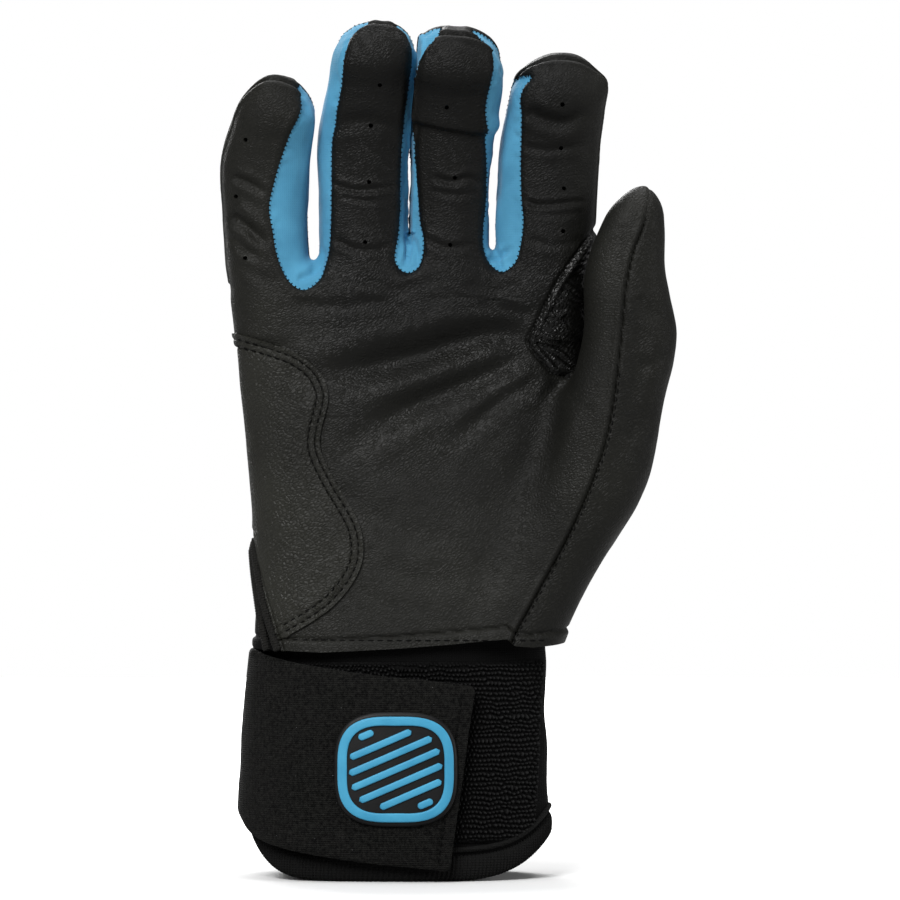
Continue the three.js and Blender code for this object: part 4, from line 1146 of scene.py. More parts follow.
# %% Fingers
BESIDE = 9
blue_sheets = {}
for name, sheet in fingers.items():
    strips, leather_sheet = cut(sheet, settle(sheet, "strip"))
    front_sheet, back_sheet = cut(leather_sheet, settle(leather_sheet, "front"))
    front_sheet = cut(front_sheet, values(front_sheet, "hole"))[0]
    ways = dict(rides=name, bends=FINGER_BENDS)
    panel(f"{name}_front_leather", front_sheet, goat, "leather", [f"{name}_front"], **ways)
    panel(f"{name}_back_leather", back_sheet, goat_back, "leather", [f"{name}_back"], **ways)
    sides = {"strip": strips}
    if name in ("ring", "middle"):
        tip_x = FINGERS[name]["spine"][-1][0]
        middles = {"left_strip": tip_x - BESIDE, "right_strip": tip_x + BESIDE}
        sides = {side: nearest_to(strips, list(middles.values()), i) for i, side in enumerate(middles)}
    for side, part in sides.items():
        panel(f"{name}_blue_{side}", part, blue_knit, "stretch_knit", [f"{name}_{side}"], **ways)
        blue_sheets[f"{name}_{side}"] = (name, part)
print("blue strips:", {name: len(part[1]) for name, (_, part) in blue_sheets.items()})

# %% [markdown]
# ## Sewing up the hand and the thumb
# The gores close the valleys between the fingers. The palm is one large hide that runs on to the
# thumb. The leather behind the long thumb seam wraps the outside, the keystone closes the corner
# of the thumb, and a soft gusset fills the slit of the wrist. At the back a ribbed band lies over
# the knuckles. The heel patch is a second layer, sewn flat on the palm.

# %% Hand and thumb
GORES = {"pinky_ring": -26, "ring_middle": 2.5, "middle_index": 28}
PATCH_LIFT = 0.75
gores, leather_sheet = cut(hand, settle(hand, "strip"))
for i, name in enumerate(GORES):
    sheet = nearest_to(gores, list(GORES.values()), i)
    panel(f"{name}_gore", sheet, blue_knit, "stretch_knit", [f"crotch_{name}"])
    blue_sheets[f"{name}_gore"] = ("hand", sheet)
side_sheet, leather_sheet = cut(leather_sheet, values(leather_sheet, "side"))
panel("thumb_side_leather", side_sheet, goat_back, "leather", ["thumb_side_panel"])
keystone_sheet, leather_sheet = cut(leather_sheet, values(leather_sheet, "keystone"))
panel("thumb_keystone", keystone_sheet, goat_keystone, "patch_leather", ["thumb_gusset"])
slit_sheet, leather_sheet = cut(leather_sheet, settle(leather_sheet, "slit"))
panel("slit_gusset", slit_sheet, neoprene, "neoprene")
palm_sheet, back_sheet = cut(leather_sheet, settle(leather_sheet, "palm"))
palm_sheet = cut(palm_sheet, values(palm_sheet, "hole"))[0]
panel("palm_leather", palm_sheet, goat, "leather", ["palm_panel"])
band_sheet, back_sheet = cut(back_sheet, values(back_sheet, "band"))
panel("knuckle_knit", band_sheet, ribbed_knit, "black_knit", ["knuckle_band"])
panel("back_leather", back_sheet, goat_back, "leather", ["back_panel"])
patch_sheet = islands(cut(palm_sheet, values(palm_sheet, "patch"))[0])[0]
panel("heel_patch_leather", patch_sheet, goat_patch, "patch_leather", ["heel_patch"], PATCH_LIFT)
back_sheet, front_sheet = cut(thumb, values(thumb, "side"))
ways = dict(rides="thumb", bends=THUMB_BENDS)
panel("thumb_front_leather", front_sheet, goat, "leather", ["thumb_front"], **ways)
panel("thumb_back_leather", back_sheet, goat_back, "leather", ["thumb_back"], **ways)
print("palm:", len(palm_sheet[1]), "triangles, heel patch:", len(patch_sheet[1]))

# %% [markdown]
# ## The cuff
# Below the hem a sleeve of thick foamed cloth closes round the wrist. Its section is an oblong
# with round ends, and its lower edge rises at both sides of the wrist. A point on it is given by
# its turn round the wrist, its height and how far it stands out, so all layers of the cuff share
# one function: sleeve, binding, loop patch, strap and badge.

# %% Cuff layers
CUFF_HALF, CUFF_DEPTH = [40.3, 40.4, 39.3, 38.5], [23.4, 22.8, 21.0, 18.5]
CUFF_MIDDLE = [0.2, 0.3, 0.9, 2.0]
CUFF_ROWS = 72.0
CUFF_SQUARE = 2.3
SIDE_RISE = 11.0


def squarish(wave, power):
    """A sine or cosine made squarer or rounder."""
    return np.sign(wave) * np.abs(wave) ** power


def cuff_point(turn, height, out):
    """A point of the cuff, `out` millimetres from the sleeve."""
    at = height / CUFF_ROWS
    x = (ease(CUFF_HALF, at) + out) * squarish(np.sin(turn), 2 / CUFF_SQUARE)
    y = -(ease(CUFF_DEPTH, at) + out) * squarish(np.cos(turn), 2 / CUFF_SQUARE)
    return np.stack(np.broadcast_arrays(x + ease(CUFF_MIDDLE, at), y, height), -1)


def rim_height(turn):
    """The lower edge of the cuff rises at both sides of the wrist."""
    share = np.abs(np.sin(turn)) ** (2 / CUFF_SQUARE)
    return SIDE_RISE * share ** np.where(np.sin(turn) < 0, 8, 5)


def sweep_faces(rows, columns, closed_rows):
    """Four-sided faces between rows of closed loops."""
    r, c = np.meshgrid(np.arange(rows if closed_rows else rows - 1), np.arange(columns), indexing="ij")
    ahead, beside = (r + 1) % rows, (c + 1) % columns
    corners = [r * columns + c, r * columns + beside, ahead * columns + beside, ahead * columns + c]
    return np.stack(corners, -1).reshape(-1, 4)


def loop_form(loops, closed_rows):
    """Points and faces of rows of closed loops. Open rows are capped by folding the end loops flat."""
    rows, columns = loops.shape[:2]
    faces = sweep_faces(rows, columns, closed_rows)
    flat = loops.reshape(-1, 3)
    if not closed_rows:
        half = columns // 2
        for row, turn in ((0, 1), (rows - 1, -1)):
            ring = row * columns + np.arange(columns)
            back = ring[::-1]
            cap = np.stack([ring[: half - 1], back[: half - 1], back[1:half], ring[1:half]], 1)
            faces = np.vstack([faces, cap[:, ::turn]])
    a, b, c = flat[faces[:, 0]], flat[faces[:, 1]], flat[faces[:, 2]]
    inside_out = np.einsum("ij,ij->i", a, np.cross(b, c)).sum() < 0
    return flat, faces[:, ::-1] if inside_out else faces


def loop_mesh(name, loops, closed_rows, sharp=50):
    """A mesh from rows of closed loops."""
    return mesh_of(name, *loop_form(np.asarray(loops), closed_rows), sharp)


print("side of the cuff at half its height:", cuff_point(math.pi / 2, CUFF_ROWS / 2, 0.0).round(1))

# %% [markdown]
# ## Cuff sleeve
# The sleeve is one closed wall of 2.4 mm: each turn round the wrist is a loop that runs up the
# outside and down the inside. Soft noise gives the cloth its slack.

# %% Cuff sleeve
ROUND = np.linspace(-math.pi, math.pi, 361)[:-1]
SLEEVE_THICK, SLEEVE_TOP, SLEEVE_ABOVE_RIM = 2.4, 71.0, 2.0


def slacken(loops, noises, radius):
    """Moves a cuff layer in and out by soft noises, each with its depth, stretch, size and seed."""
    flat = loops.reshape(-1, 3)
    waves = sum(depth * soft_noise(flat * stretch, size, seed) for depth, stretch, size, seed in noises)
    return loops * (1 + (waves / radius).reshape(len(loops), -1, 1) * [1, 1, 0])


sleeve_rows = []
for turn in ROUND:
    up = np.linspace(rim_height(turn) + SLEEVE_ABOVE_RIM, SLEEVE_TOP, 50)
    sleeve_rows.append(np.vstack([cuff_point(turn, up, 0), cuff_point(turn, up[::-1], -SLEEVE_THICK)]))
sleeve = slacken(np.array(sleeve_rows), [(0.3, [1, 1, 1.4], 13, 21), (0.12, 1, 5, 22)], 35)
place(loop_mesh("cuff_sleeve_cloth", sleeve, True), neoprene, "neoprene", ["cuff_sleeve"])
print("cuff sleeve:", sleeve.shape[0] * sleeve.shape[1], "points")

# %% [markdown]
# ## Overlocked rim
# The lower edge is overlocked: threads wrap round the raw edge in a dense row. Each wrap is a
# ridge in the mesh itself, about 1.1 mm from the next. A thin piping runs above it.

# %% Rim binding
WRAPS, STEPS_PER_WRAP = 210, 6
RIM_HALF, RIM_UP, RIM_ROUND = 3.0, 3.6, 0.7
WRAP_HEIGHT, WRAP_SLANT = 0.22, 0.012
PIPING_UP, PIPING_RADIUS = 8.6, 0.75
profile = np.linspace(0, math.tau, 22)[:-1]
rim_rows = []
for i, turn in enumerate(np.linspace(-math.pi, math.pi, WRAPS * STEPS_PER_WRAP + 1)[:-1]):
    ridge = WRAP_HEIGHT * math.cos(i / STEPS_PER_WRAP * math.tau)
    bottom = rim_height(turn)
    across = (RIM_HALF + ridge) * squarish(np.cos(profile), RIM_ROUND)
    up = bottom + RIM_UP + (RIM_UP + ridge * 0.4) * squarish(np.sin(profile), RIM_ROUND)
    leaning = turn + WRAP_SLANT * np.sin(profile)
    rim_rows.append(cuff_point(leaning, np.maximum(up, bottom), -1.2 + across * 0.82))
place(loop_mesh("rim_overlock", rim_rows, True, 80), tape, "tape", ["rim_binding"])
piping_rows = []
for turn in ROUND:
    up = rim_height(turn) + PIPING_UP + PIPING_RADIUS * np.sin(profile)
    piping_rows.append(cuff_point(turn, up, 0.5 + PIPING_RADIUS * np.cos(profile)))
place(loop_mesh("rim_piping", piping_rows, True, 80), tape, "tape")
print("overlock of", WRAPS, "wraps and a piping above it")

# %% [markdown]
# ## Loop patch
# The loop half of the closure is a knobbly field of tiny thread loops. Hair particles would be
# slow, and are not a mesh that can be exported. So a fine grid is raised into rows of knobs that
# are pushed about by noise, and no two loops look alike.

# %% Loop patch
LOOP_FROM, LOOP_LOW, LOOP_HIGH = math.radians(-46), 10.5, 60.0
LOOP_TO_LOW, LOOP_TO_HIGH = math.radians(63), math.radians(76)
KNOB_WIDE, KNOB_TALL, KNOB_PUSH = 1.12, 1.3, 0.45
LOOP_BACKING, LOOP_CLOTH = 0.3, 0.4
share_grid, up_grid = np.meshgrid(np.linspace(0, 1, 380), np.linspace(0, 1, 240), indexing="ij")
turn_grid = LOOP_FROM + share_grid * (LOOP_TO_LOW + (LOOP_TO_HIGH - LOOP_TO_LOW) * up_grid - LOOP_FROM)
height_grid = np.maximum(LOOP_LOW, rim_height(turn_grid) + 8.0) * (1 - up_grid) + LOOP_HIGH * up_grid
inner = cuff_point(turn_grid, height_grid, LOOP_BACKING)
flat = inner.reshape(-1, 3)
push = [KNOB_PUSH * soft_noise(flat, 2.2, seed).reshape(turn_grid.shape) for seed in (31, 32)]
row = (height_grid + push[1]) / KNOB_TALL
column = (inner[..., 0] + push[0]) / KNOB_WIDE + 0.5 * np.floor(row)
knobs = np.sqrt(np.clip(1 - ((column % 1 - 0.5) / 0.34) ** 2 - ((row % 1 - 0.5) / 0.4) ** 2, 0, 1))
from_ends, from_sides = np.minimum(share_grid, 1 - share_grid), np.minimum(up_grid, 1 - up_grid)
edge = np.clip(np.minimum(from_sides * 40, from_ends * 30), 0, 1)
outer = cuff_point(turn_grid, height_grid, LOOP_CLOTH + edge * (0.1 + 1.0 * knobs))
loop_patch = loop_mesh("loop_patch_pile", np.concatenate([outer, inner[:, ::-1]], 1), False, 80)
# The knob height is kept for the pile material, which paints highlight on the loops and shade between them.
knob = loop_patch.attributes.new("knob", "FLOAT", "POINT")
knob.data.foreach_set("value", np.concatenate([edge * knobs, 0 * knobs], 1).ravel().astype(np.float32))
place(loop_patch, pile, "loop_pile", ["loop_patch"])
print("loop patch:", outer.shape[0] * outer.shape[1], "points")

# %% [markdown]
# ## Strap and hook tape
# The wide elastic strap is sewn at the back, runs round the little-finger side and folds over the
# front, where it slants down a little. It is one band. The turned end shows as a dip, and the
# overlocked upper edge as small ridges, all in the mesh. Under the end lies the hook tape.

# %% Strap line
STRAP_ANCHOR, STRAP_FOLD = math.radians(-214), math.radians(-76)
STRAP_END_LOW, STRAP_END_HIGH = math.radians(14.5), math.radians(23.5)
STRAP_WIDTH, STRAP_THICK = 52.0, 1.8
STRAP_OUT, ANCHOR_OUT = 3.3, 1.6
LOOSE_LENGTH = 62.0


def strap_run(turn):
    """Share of the loose strap at a turn round the wrist, 0 up to its fold."""
    return np.clip((turn - STRAP_FOLD) / (STRAP_END_HIGH - STRAP_FOLD), 0, 1)


def strap_low(turn):
    """The lower edge, which is drawn up at the side of the wrist."""
    return 12.4 - 10.4 * strap_run(turn) + 6.5 * bell(turn + 1.66, 0.45)


def strap_high(turn):
    """The upper edge."""
    return 63.0 - 9.6 * strap_run(turn)


def strap_out(turn):
    """How far the sewn part stands out. It rises from the anchor to the fold."""
    share = np.clip((turn - STRAP_ANCHOR) / (STRAP_FOLD - STRAP_ANCHOR), 0, 1)
    return ANCHOR_OUT + (STRAP_OUT - ANCHOR_OUT) * share


def strap_place(share, across, out):
    """A point of the loose strap: share from its fold to its slanting end, across from its lower edge."""
    turn = STRAP_FOLD + share * (STRAP_END_LOW + (STRAP_END_HIGH - STRAP_END_LOW) * across - STRAP_FOLD)
    return cuff_point(turn, strap_low(turn) + across * (strap_high(turn) - strap_low(turn)), out)


print("strap end at", strap_place(1.0, 0.5, STRAP_OUT).round(1))

# %% [markdown]
# ### Strap band
# The band is swept along its line: each row is a loop that runs up the outside and down the
# inside. A curve with a bevel would be shorter to write, but could not carry the dip and the ridges.

# %% Strap
STRAP_BENDS = ((-44 * MM, -3 * MM, 0), (-44 * MM, -13 * MM, 0))
EDGE_SOFT, END_ROW, WRAP_STEP = 1.3, 3.0, 1.1
across = np.linspace(0, 1, 90)
soft = 0.4 * np.clip(1 - np.minimum(across, 1 - across) * STRAP_WIDTH / EDGE_SOFT, 0, 1) ** 2
strap_rows = []
for turn in np.linspace(STRAP_ANCHOR, STRAP_FOLD, 180)[:-1]:
    up = strap_low(turn) + across * (strap_high(turn) - strap_low(turn))
    outer = cuff_point(turn, up, strap_out(turn) + STRAP_THICK - soft)
    strap_rows.append(np.vstack([outer, cuff_point(turn, up, strap_out(turn) + soft)[::-1]]))
for share in np.linspace(0, 1, 320):
    to_end = (1 - share) * LOOSE_LENGTH
    corner = 0.022 * max(0.0, 1 - to_end / 1.6) ** 2
    rows = corner + across * (1 - 2 * corner)
    dip = soft + 0.5 * max(0.0, 1 - to_end / 1.2) ** 2 + 0.35 * bell(to_end - END_ROW, 0.6)
    upper_edge = np.clip(1.5 - (1 - across) * STRAP_WIDTH / 1.4, 0, 1)
    wraps = 0.13 * math.cos(to_end * math.tau / WRAP_STEP) * upper_edge
    outer = strap_place(share, rows, STRAP_OUT + STRAP_THICK - dip + wraps)
    strap_rows.append(np.vstack([outer, strap_place(share, rows, STRAP_OUT + soft)[::-1]]))
strap = slacken(np.array(strap_rows), [(0.25, 1, 14, 41), (0.1, 1, 5, 42)], 40)
strap_nodes = ["strap_flap", "strap_anchor"]
place(loop_mesh("strap_band", strap, False), elastic, "elastic", strap_nodes, "strap", STRAP_BENDS)
print("strap band:", strap.shape[0] * strap.shape[1], "points")

# %% [markdown]
# ### Hook tape
# Real hooks are far too small to be seen, so a fine field of points stands in for them.

# %% Hook tape
HOOK_ALONG, HOOK_ACROSS = np.linspace(0.76, 0.975, 60), np.linspace(0.24, 0.94, 120)
HOOK_BACK, HOOK_FACE, HOOK_HEIGHT = 3.0, 2.15, 0.15
along_grid, across_grid = np.meshgrid(HOOK_ALONG, HOOK_ACROSS, indexing="ij")
waves = np.sin(along_grid * LOOSE_LENGTH * math.pi) * np.sin(across_grid * STRAP_WIDTH * math.pi)
hook_back = strap_place(along_grid, across_grid, HOOK_BACK)
hook_tips = strap_place(along_grid, across_grid, HOOK_FACE - HOOK_HEIGHT * np.abs(waves))
hooks = np.concatenate([hook_back, hook_tips[:, ::-1]], 1)
place(loop_mesh("hook_tape_tab", hooks, False, 80), hook_tape, "hook_tape", ["hook_tab"], "strap")
print("hook tape:", hooks.shape[0] * hooks.shape[1], "points")

# %% [markdown]
# ## Badge
# A moulded rubber badge sits on the strap, as such gloves have it. This one is plain: a plate, a
# raised rim and slanting grip bars. A flat plate would cut into the round wrist, so every point is
# laid on the curve of the cuff.

# %% Badge plate and rim
BADGE_MIDDLE, BADGE_UP = -1.0, 31.0
BADGE_HALF = (16.6, 15.6)
BADGE_OUT = STRAP_OUT + STRAP_THICK + 0.1
BADGE_SQUARE = 3.0
BEAD_ROUND = 0.6
PLATE_HIGH, PLATE_ROUND_OFF, PLATE_ROUND_SHARE = 1.2, 0.5, 0.06
RIM_INSET, RIM_HALF_WIDTH, RIM_HIGH, RIM_RISE = 2.5, 1.25, 1.45, 0.4


def badge_point(across, up, out):
    """A point of the badge, measured across and up from its middle."""
    at = (BADGE_UP + up) / CUFF_ROWS
    share = (BADGE_MIDDLE + across - ease(CUFF_MIDDLE, at)) / (ease(CUFF_HALF, at) + BADGE_OUT)
    turn = np.sign(share) * np.arcsin(np.abs(share) ** (CUFF_SQUARE / 2))
    return cuff_point(turn, BADGE_UP + up, BADGE_OUT + out)


def rounding(u, v):
    """Length of a vector by the badge's rounded square."""
    return (np.abs(u) ** BADGE_SQUARE + np.abs(v) ** BADGE_SQUARE) ** (1 / BADGE_SQUARE)


u, v = np.meshgrid(np.linspace(-1, 1, 90), np.linspace(-1, 1, 90), indexing="ij")
most = np.maximum(np.abs(u), np.abs(v))
round_off = most / np.maximum(rounding(u, v), 1e-9)
flat_badge = (u * round_off * BADGE_HALF[0], v * round_off * BADGE_HALF[1])
crown = PLATE_HIGH - PLATE_ROUND_OFF * np.clip(1 - (1 - most) / PLATE_ROUND_SHARE, 0, 1) ** 2
badge = np.concatenate([badge_point(*flat_badge, crown), badge_point(*flat_badge, 0.0)[:, ::-1]], 1)
place(loop_mesh("badge_plate", badge, False, 60), badge_rubber, "badge_rubber", ["badge_base"], "strap")

bead = np.linspace(0, math.tau, 17)[:-1]
bead_across, bead_up = squarish(np.cos(bead), BEAD_ROUND), squarish(np.sin(bead), BEAD_ROUND)
rim_rows = []
for angle in np.linspace(0, math.tau, 181)[:-1]:
    reach = 1 / rounding(np.cos(angle) / BADGE_HALF[0], np.sin(angle) / BADGE_HALF[1])
    r = reach - RIM_INSET + RIM_HALF_WIDTH * bead_across
    rim_rows.append(badge_point(r * np.cos(angle), r * np.sin(angle), RIM_HIGH + RIM_RISE * bead_up))
place(loop_mesh("badge_blue_rim", rim_rows, True, 70), badge_blue, "badge_blue", ["badge_rim"], "strap")
print("badge:", badge.shape[0] * badge.shape[1], "points, rim:", len(rim_rows), "loops")

# %% [markdown]
# ### Grip bars
# The bars slant across the plate and end where the rim begins. All are joined into one mesh, since
# they are one moulding.

# %% Grip bars
SLANT = math.radians(24)
BAR_SPACING, BAR_HALF, BAR_END = 3.9, 0.95, 0.9
BAR_HIGH, BAR_RISE = 1.35, 0.42
BAR_FIELD = (12.4, 10.6)


def slanted(s, w):
    """A place on the badge from a length along the bars and one across them."""
    return s * math.cos(SLANT) - w * math.sin(SLANT), s * math.sin(SLANT) + w * math.cos(SLANT)


def on_field(s, w):
    """Whether a place lies inside the field of the bars."""
    across, up = slanted(s, w)
    return abs(across / BAR_FIELD[0]) ** 3 + abs(up / BAR_FIELD[1]) ** 3 < 1


bar_points, bar_faces = [], []
for row in range(-3, 4):
    middle = row * BAR_SPACING
    inside = [s for s in np.linspace(-18, 18, 145) if on_field(s, middle)]
    loops = []
    for s in np.linspace(inside[0], inside[-1], 40):
        to_end = min(s - inside[0], inside[-1] - s)
        round_end = math.sqrt(max(0.02, 1 - max(0, 1 - to_end / BAR_END) ** 2))
        w = middle + BAR_HALF * round_end * bead_across
        loops.append(badge_point(*slanted(s, w), BAR_HIGH + BAR_RISE * round_end * bead_up))
    points, faces = loop_form(np.array(loops), False)
    bar_faces.append(faces + sum(len(p) for p in bar_points))
    bar_points.append(points)
bars = mesh_of("badge_grip_bars", np.vstack(bar_points), np.vstack(bar_faces), 70)
place(bars, badge_blue, "badge_blue", (), "strap")
print("grip bars:", len(bar_points))

# %% [markdown]
# ## Stitches
# Sewing shows as rows of short threads. Painted stitches would look flat in slanting light, so
# each one is a small rounded thread in the mesh. Rows on the palm and on the back are drawn in the
# front view and dropped on the leather with rays.


# %% Stitch helpers
def stitch_mesh(name, middles, alongs, normals, length, radius):
    """Many small rounded threads in one mesh."""
    rings, sides = 5, 6
    t = np.linspace(-1, 1, rings + 2)[1:-1]
    girth = np.sqrt(1 - (t * 0.97) ** 2) ** 0.7
    turn = np.arange(sides) / sides * math.tau
    hull = [(a, g * math.cos(w), g * math.sin(w)) for a, g in zip(t, girth) for w in turn]
    shape = np.array([(-1, 0, 0), *hull, (1, 0, 0)])
    last, top = 1 + (rings - 1) * sides, len(shape) - 1
    faces = []
    for i in range(sides):
        j = (i + 1) % sides
        faces += [(0, 1 + j, 1 + i), (top, last + i, last + j)]
        for ring_start in range(1, last, sides):
            a, b = ring_start + i, ring_start + j
            faces += [(a, b, b + sides), (a, b + sides, a + sides)]
    frames = [alongs * length / 2, np.cross(normals, alongs) * radius, normals * radius]
    points = middles[:, None] + sum(shape[None, :, i : i + 1] * way[:, None] for i, way in enumerate(frames))
    offsets = np.arange(len(middles))[:, None, None] * len(shape)
    return mesh_of(name, points.reshape(-1, 3), (np.array(faces)[None] + offsets).reshape(-1, 3), 180)


def evenly_along(line, spacing):
    """Middles and directions at an even spacing along a line of any dimension."""
    along = running_length(line)
    spots = np.arange(spacing / 2, along[-1], spacing)
    behind, ahead = (read_line(line, along, spots + step) for step in (-0.3, 0.3))
    return read_line(line, along, spots), unit(ahead - behind)


def beside(line, distance):
    """A line at a distance beside another one in the front view."""
    way = unit(np.gradient(line, axis=0))
    return line + distance * np.stack([-way[:, 1], way[:, 0]], 1)


print("stitches on a line of 20 mm:", len(evenly_along(np.array([(0.0, 0.0), (20.0, 0.0)]), 2.3)[0]))

# %% [markdown]
# ### Rows on the leather
# A row follows its seam at a distance. Where a ray meets the leather a stitch is laid, flat along
# the surface, so the row dips and rises with the folds.


# %% Rows of stitches on the leather
def tree_of(*names):
    """A search tree of some pieces, for rays."""
    points, faces = [], []
    for name in names:
        mesh = bpy.data.objects[name].data
        offset = len(points)
        points += [v.co / MM for v in mesh.vertices]
        faces += [tuple(i + offset for i in p.vertices) for p in mesh.polygons]
    return BVHTree.FromPolygons(points, faces)


def sew(name, tree, line, spacing=2.3, length=1.7, radius=0.24, toward=1):
    """A row of stitches along a line of the front view, or of the back view with toward=-1."""
    places_found, outs = [], []
    for x_here, z_here in evenly_along(line, spacing)[0]:
        hit, out, _, _ = tree.ray_cast(Vector((x_here, -90 * toward, z_here)), Vector((0, toward, 0)))
        if hit:
            places_found.append(hit)
            outs.append(out)
    outs = unit(np.array(outs))
    places_found = np.array(places_found) + 0.02 * outs
    ways = unit(np.gradient(places_found, axis=0))
    ways = unit(ways - outs * np.einsum("ij,ij->i", ways, outs)[:, None])
    return place(stitch_mesh(name, places_found, ways, outs, length, radius), thread, "tape")


HEM = 63.5
HEM_ROW = HEM + 2.4
palm_tree = tree_of("palm_leather", "thumb_side_leather")
patch_tree, back_tree = tree_of("heel_patch_leather"), tree_of("back_leather")
patch_row = patch_line[(patch_line[:, 0] > -45.5) & (patch_line[:, 1] > 66.5)]
for i, inset in enumerate(PATCH_ROWS):
    sew(f"heel_patch_stitches_{i + 1}", patch_tree, beside(patch_row, -inset))
sew("hem_stitches", palm_tree, smooth_line([(across, HEM_ROW) for across in (-30, 0, 30, 40)]), 2.6, 1.8)
root_seam = thumb_line[(thumb_line[:, 1] < THUMB_CUT - 1) & (thumb_line[:, 1] > HEM + 1)]
sew("thumb_root_stitches", palm_tree, beside(root_seam, 0.75), 2.2, 1.3, 0.2)
for i, height in enumerate((144.6, 163.4)):
    knuckle_row = smooth_line([(across, height) for across in (-38, 0, 20, 42)])
    sew(f"knuckle_stitches_{i + 1}", back_tree, knuckle_row, toward=-1)
print("stitch rows on the palm: 4, on the back: 2")

# %% [markdown]
# ## Teeth along the blue strips
# Along the blue strips the thread crosses the seam, so it bites into the blue edge like small
# black teeth. These seams run round the fingers, where rays from the front would miss. So the edge
# of each strip is followed point by point instead, and every tooth stands across it.


# %% Teeth along the blue strips
def strip_edges(sheet):
    """Chains the edge points of a strip that lie on its sewn seam."""
    table, faces = sheet
    sewn = np.abs(values(sheet, "strip")) < 0.12
    following = {a: b for a, b in open_edges(faces, len(table)) if sewn[a] and sewn[b]}
    followed = set(following.values())
    starts = [a for a in following if a not in followed] or list(following)[:1]
    for a in starts:
        chain = [a]
        while chain[-1] in following:
            chain.append(following.pop(chain[-1]))
        if len(chain) > 12:
            yield table[chain]


TOOTH_SPACING, TOOTH_LENGTH, TOOTH_RADIUS = 1.35, 0.8, 0.17
teeth = {}
for body, sheet in blue_sheets.values():
    for chain in strip_edges(sheet):
        spots, ways = evenly_along(chain[:, PLACE], TOOTH_SPACING)
        nearest = np.array([np.argmin(((chain[:, PLACE] - s) ** 2).sum(1)) for s in spots])
        outs = unit(chain[nearest, NORMAL])
        inward = unit(np.cross(outs, ways))
        teeth.setdefault(body, []).append((spots + 0.05 * inward + 0.08 * outs, inward, outs))
for body, rows in teeth.items():
    stitches = [np.vstack([row[i] for row in rows]) for i in range(3)]
    bends = None if body == "hand" else FINGER_BENDS
    mesh = stitch_mesh(f"{body}_strip_stitches", *stitches, TOOTH_LENGTH, TOOTH_RADIUS)
    place(mesh, thread, "tape", (), body, bends)
print("teeth:", {body: sum(len(row[0]) for row in rows) for body, rows in teeth.items()})

# %% [markdown]
# ## Slit binding and strap stitches
# Both edges of the slit are bound with a folded tape that stands up from the palm. A bevelled
# curve could make it, but a loop that is swept along the drawn edge also gets the small ridges of
# the sewing. On the strap a row of stitches holds the turned end, and two rows its anchor.

# %% Slit tape and strap rows
SLIT_EDGES = {
    "palm": [(-40.9, -3, 93.6), (-39.6, -7.4, 86), (-37.6, -11.7, 76),
             (-35.6, -14.4, 69), (-33.6, -16.4, 63)],
    "back": [(-41.3, 0, 92.6), (-40.6, -3.5, 85), (-39.5, -7.5, 77.5),
             (-38.4, -10.4, 71), (-36.6, -13.4, 63)],
}
TAPE_HALF, TAPE_HIGH = 1.15, 0.95
slit_out = unit(np.array([-0.6, -0.8, 0.0]))
ring = np.linspace(0, math.tau, 15)[:-1, None]
for side, edge_line in SLIT_EDGES.items():
    slit_places = smooth_line(edge_line, 0.16)
    slit_across = unit(np.cross(unit(np.gradient(slit_places, axis=0)), slit_out))
    loops = []
    for i, (spot, across_way) in enumerate(zip(slit_places, slit_across)):
        girth = min(1, 0.25 + i / 22) * (1 + 0.1 * math.cos(i * math.tau / 5))
        section = TAPE_HALF * np.cos(ring) * across_way + TAPE_HIGH * np.sin(ring) * slit_out
        loops.append(spot + girth * section)
    nodes = ["slit_binding"] if side == "palm" else ()
    place(loop_mesh(f"slit_tape_{side}", loops, False, 80), slit_tape, "tape", nodes)


def strap_row(name, place_at, out, radius, rides="hand"):
    """A row of stitches on the strap. `place_at` gives the row's places at a distance from the sleeve."""
    spots = place_at(out)
    outs = unit(place_at(9.0) - place_at(5.0))
    ways = unit(np.gradient(spots, axis=0))
    place(stitch_mesh(name, spots, ways, outs, 1.7, radius), thread, "tape", (), rides)


end_row = partial(strap_place, 1 - END_ROW / LOOSE_LENGTH, np.linspace(0.06, 0.94, 22))
strap_row("strap_end_stitches", end_row, STRAP_OUT + STRAP_THICK - 0.2, 0.24, "strap")
for i, turn in enumerate((STRAP_ANCHOR + 0.05, STRAP_ANCHOR + 0.14)):
    anchor_row = partial(cuff_point, turn, np.linspace(strap_low(turn) + 2, strap_high(turn) - 2, 22))
    strap_row(f"strap_anchor_stitches_{i + 1}", anchor_row, strap_out(turn) + STRAP_THICK + 0.05, 0.26)
print("slit tapes:", len(SLIT_EDGES), "and 3 rows on the strap")

# %% [markdown]
# ## Studio
# The glove stands on a round sheet of pale paper that melts into a white room. The camera sees the
# paper and the room as white, but to the leather both are dim: dark goatskin shows its folds best
# when only the windows shine on it.

# %% Paper and room
PAPER_RINGS = (0.0001, 0.06, 0.12, 0.2, 0.3, 0.5, 1.4)
scene = bpy.context.scene
rim = np.linspace(0, math.tau, 97)[:-1]
paper_rows = [[(r * math.cos(a), r * math.sin(a), 0) for a in rim] for r in PAPER_RINGS]
paper_faces = sweep_faces(len(paper_rows), len(rim), False)[:, ::-1]
paper_mesh = mesh_of("paper_round", np.array(paper_rows).reshape(-1, 3) / MM, paper_faces, 180)
paper = bpy.data.objects.new("paper_round", paper_mesh)
scene.collection.objects.link(paper)
look = Finish("white_paper")
fibre = look.noise(0.02, 2.0)
seen = look.add("LightPath")["Is Camera Ray"]
bright = look.blend(fibre, (0.9, 0.9, 0.9, 1), (0.94, 0.94, 0.94, 1))
paper_tone = look.blend(seen, (0.4, 0.4, 0.4, 1), bright)
away = look.add("VectorMath", {0: look.rest}, operation="LENGTH")["Value"]
melted = look.spread(away, 0.06, 0.26, 0.0, 1.0)
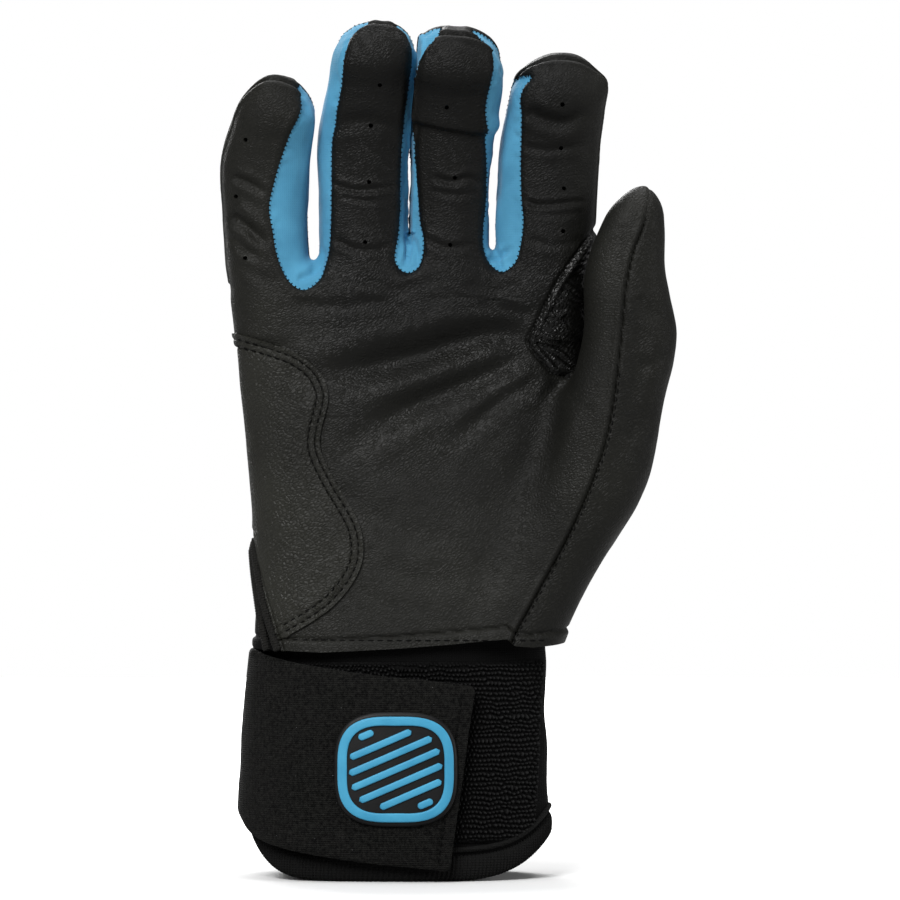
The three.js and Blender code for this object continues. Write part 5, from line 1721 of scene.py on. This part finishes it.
look.feed(look.shader.inputs["Emission Color"], (1, 1, 1, 1))
look.feed(look.shader.inputs["Emission Strength"], look.math("MULTIPLY", melted, seen))
paper.data.materials.append(look.finish(paper_tone, 0.9, fibre, 0.0, specular=0.0))

scene.world = bpy.data.worlds.new("studio")
scene.world.use_nodes = True
room = NodeBoard(scene.world.node_tree)
ray = room.add("LightPath")
mirrored = room.math("MULTIPLY_ADD", ray["Is Glossy Ray"], 0.1, 0.12)
through = room.math("MAXIMUM", ray["Is Transmission Ray"], ray["Is Camera Ray"])
background = room.nodes["Background"]
room.feed(background.inputs["Color"], (1, 1, 1, 1))
room.feed(background.inputs["Strength"], room.math("MAXIMUM", mirrored, through))
print("paper of", 2 * PAPER_RINGS[-1], "m in a white room")

# %% [markdown]
# ## Light and camera
# Four soft windows light the glove: a large one in front, a weak one at the right, one behind for
# the rim of the fingers and one above. The camera has a long lens and looks straight at the palm.

# %% Light and camera
WINDOWS = {
    "window_front": ((-0.55, -1.2, 1.1), (0, 0, 0.11), 0.8, 25),
    "window_right": ((1.5, -0.7, 0.5), (0, 0, 0.12), 0.6, 7),
    "window_back": ((-0.5, 1.5, 0.8), (0, 0, 0.11), 0.9, 20),
    "window_top": ((0.1, 0.3, 1.5), (0, 0, 0.1), 1.2, 16),
}
CAMERA_AWAY, VIEW_WIDTH, SENSOR = 1.6, 0.2495, 36
for name, (where, aim, size, power) in WINDOWS.items():
    light = bpy.data.lights.new(name, "AREA")
    light.size, light.energy = size, power
    lamp = bpy.data.objects.new(name, light)
    lamp.location = where
    lamp.rotation_euler = (Vector(aim) - Vector(where)).to_track_quat("-Z", "Y").to_euler()
    scene.collection.objects.link(lamp)
camera = bpy.data.objects.new("camera", bpy.data.cameras.new("camera"))
camera.location = (0.01375, -CAMERA_AWAY, 0.118)
camera.rotation_euler = (math.pi / 2, 0, 0)
camera.data.lens = SENSOR * CAMERA_AWAY / VIEW_WIDTH
scene.collection.objects.link(camera)
scene.camera = camera
scene.view_settings.view_transform = "Standard"
print("lens of", round(camera.data.lens, 1), "mm and", len(WINDOWS), "windows")

# %% [markdown]
# ## The finished glove
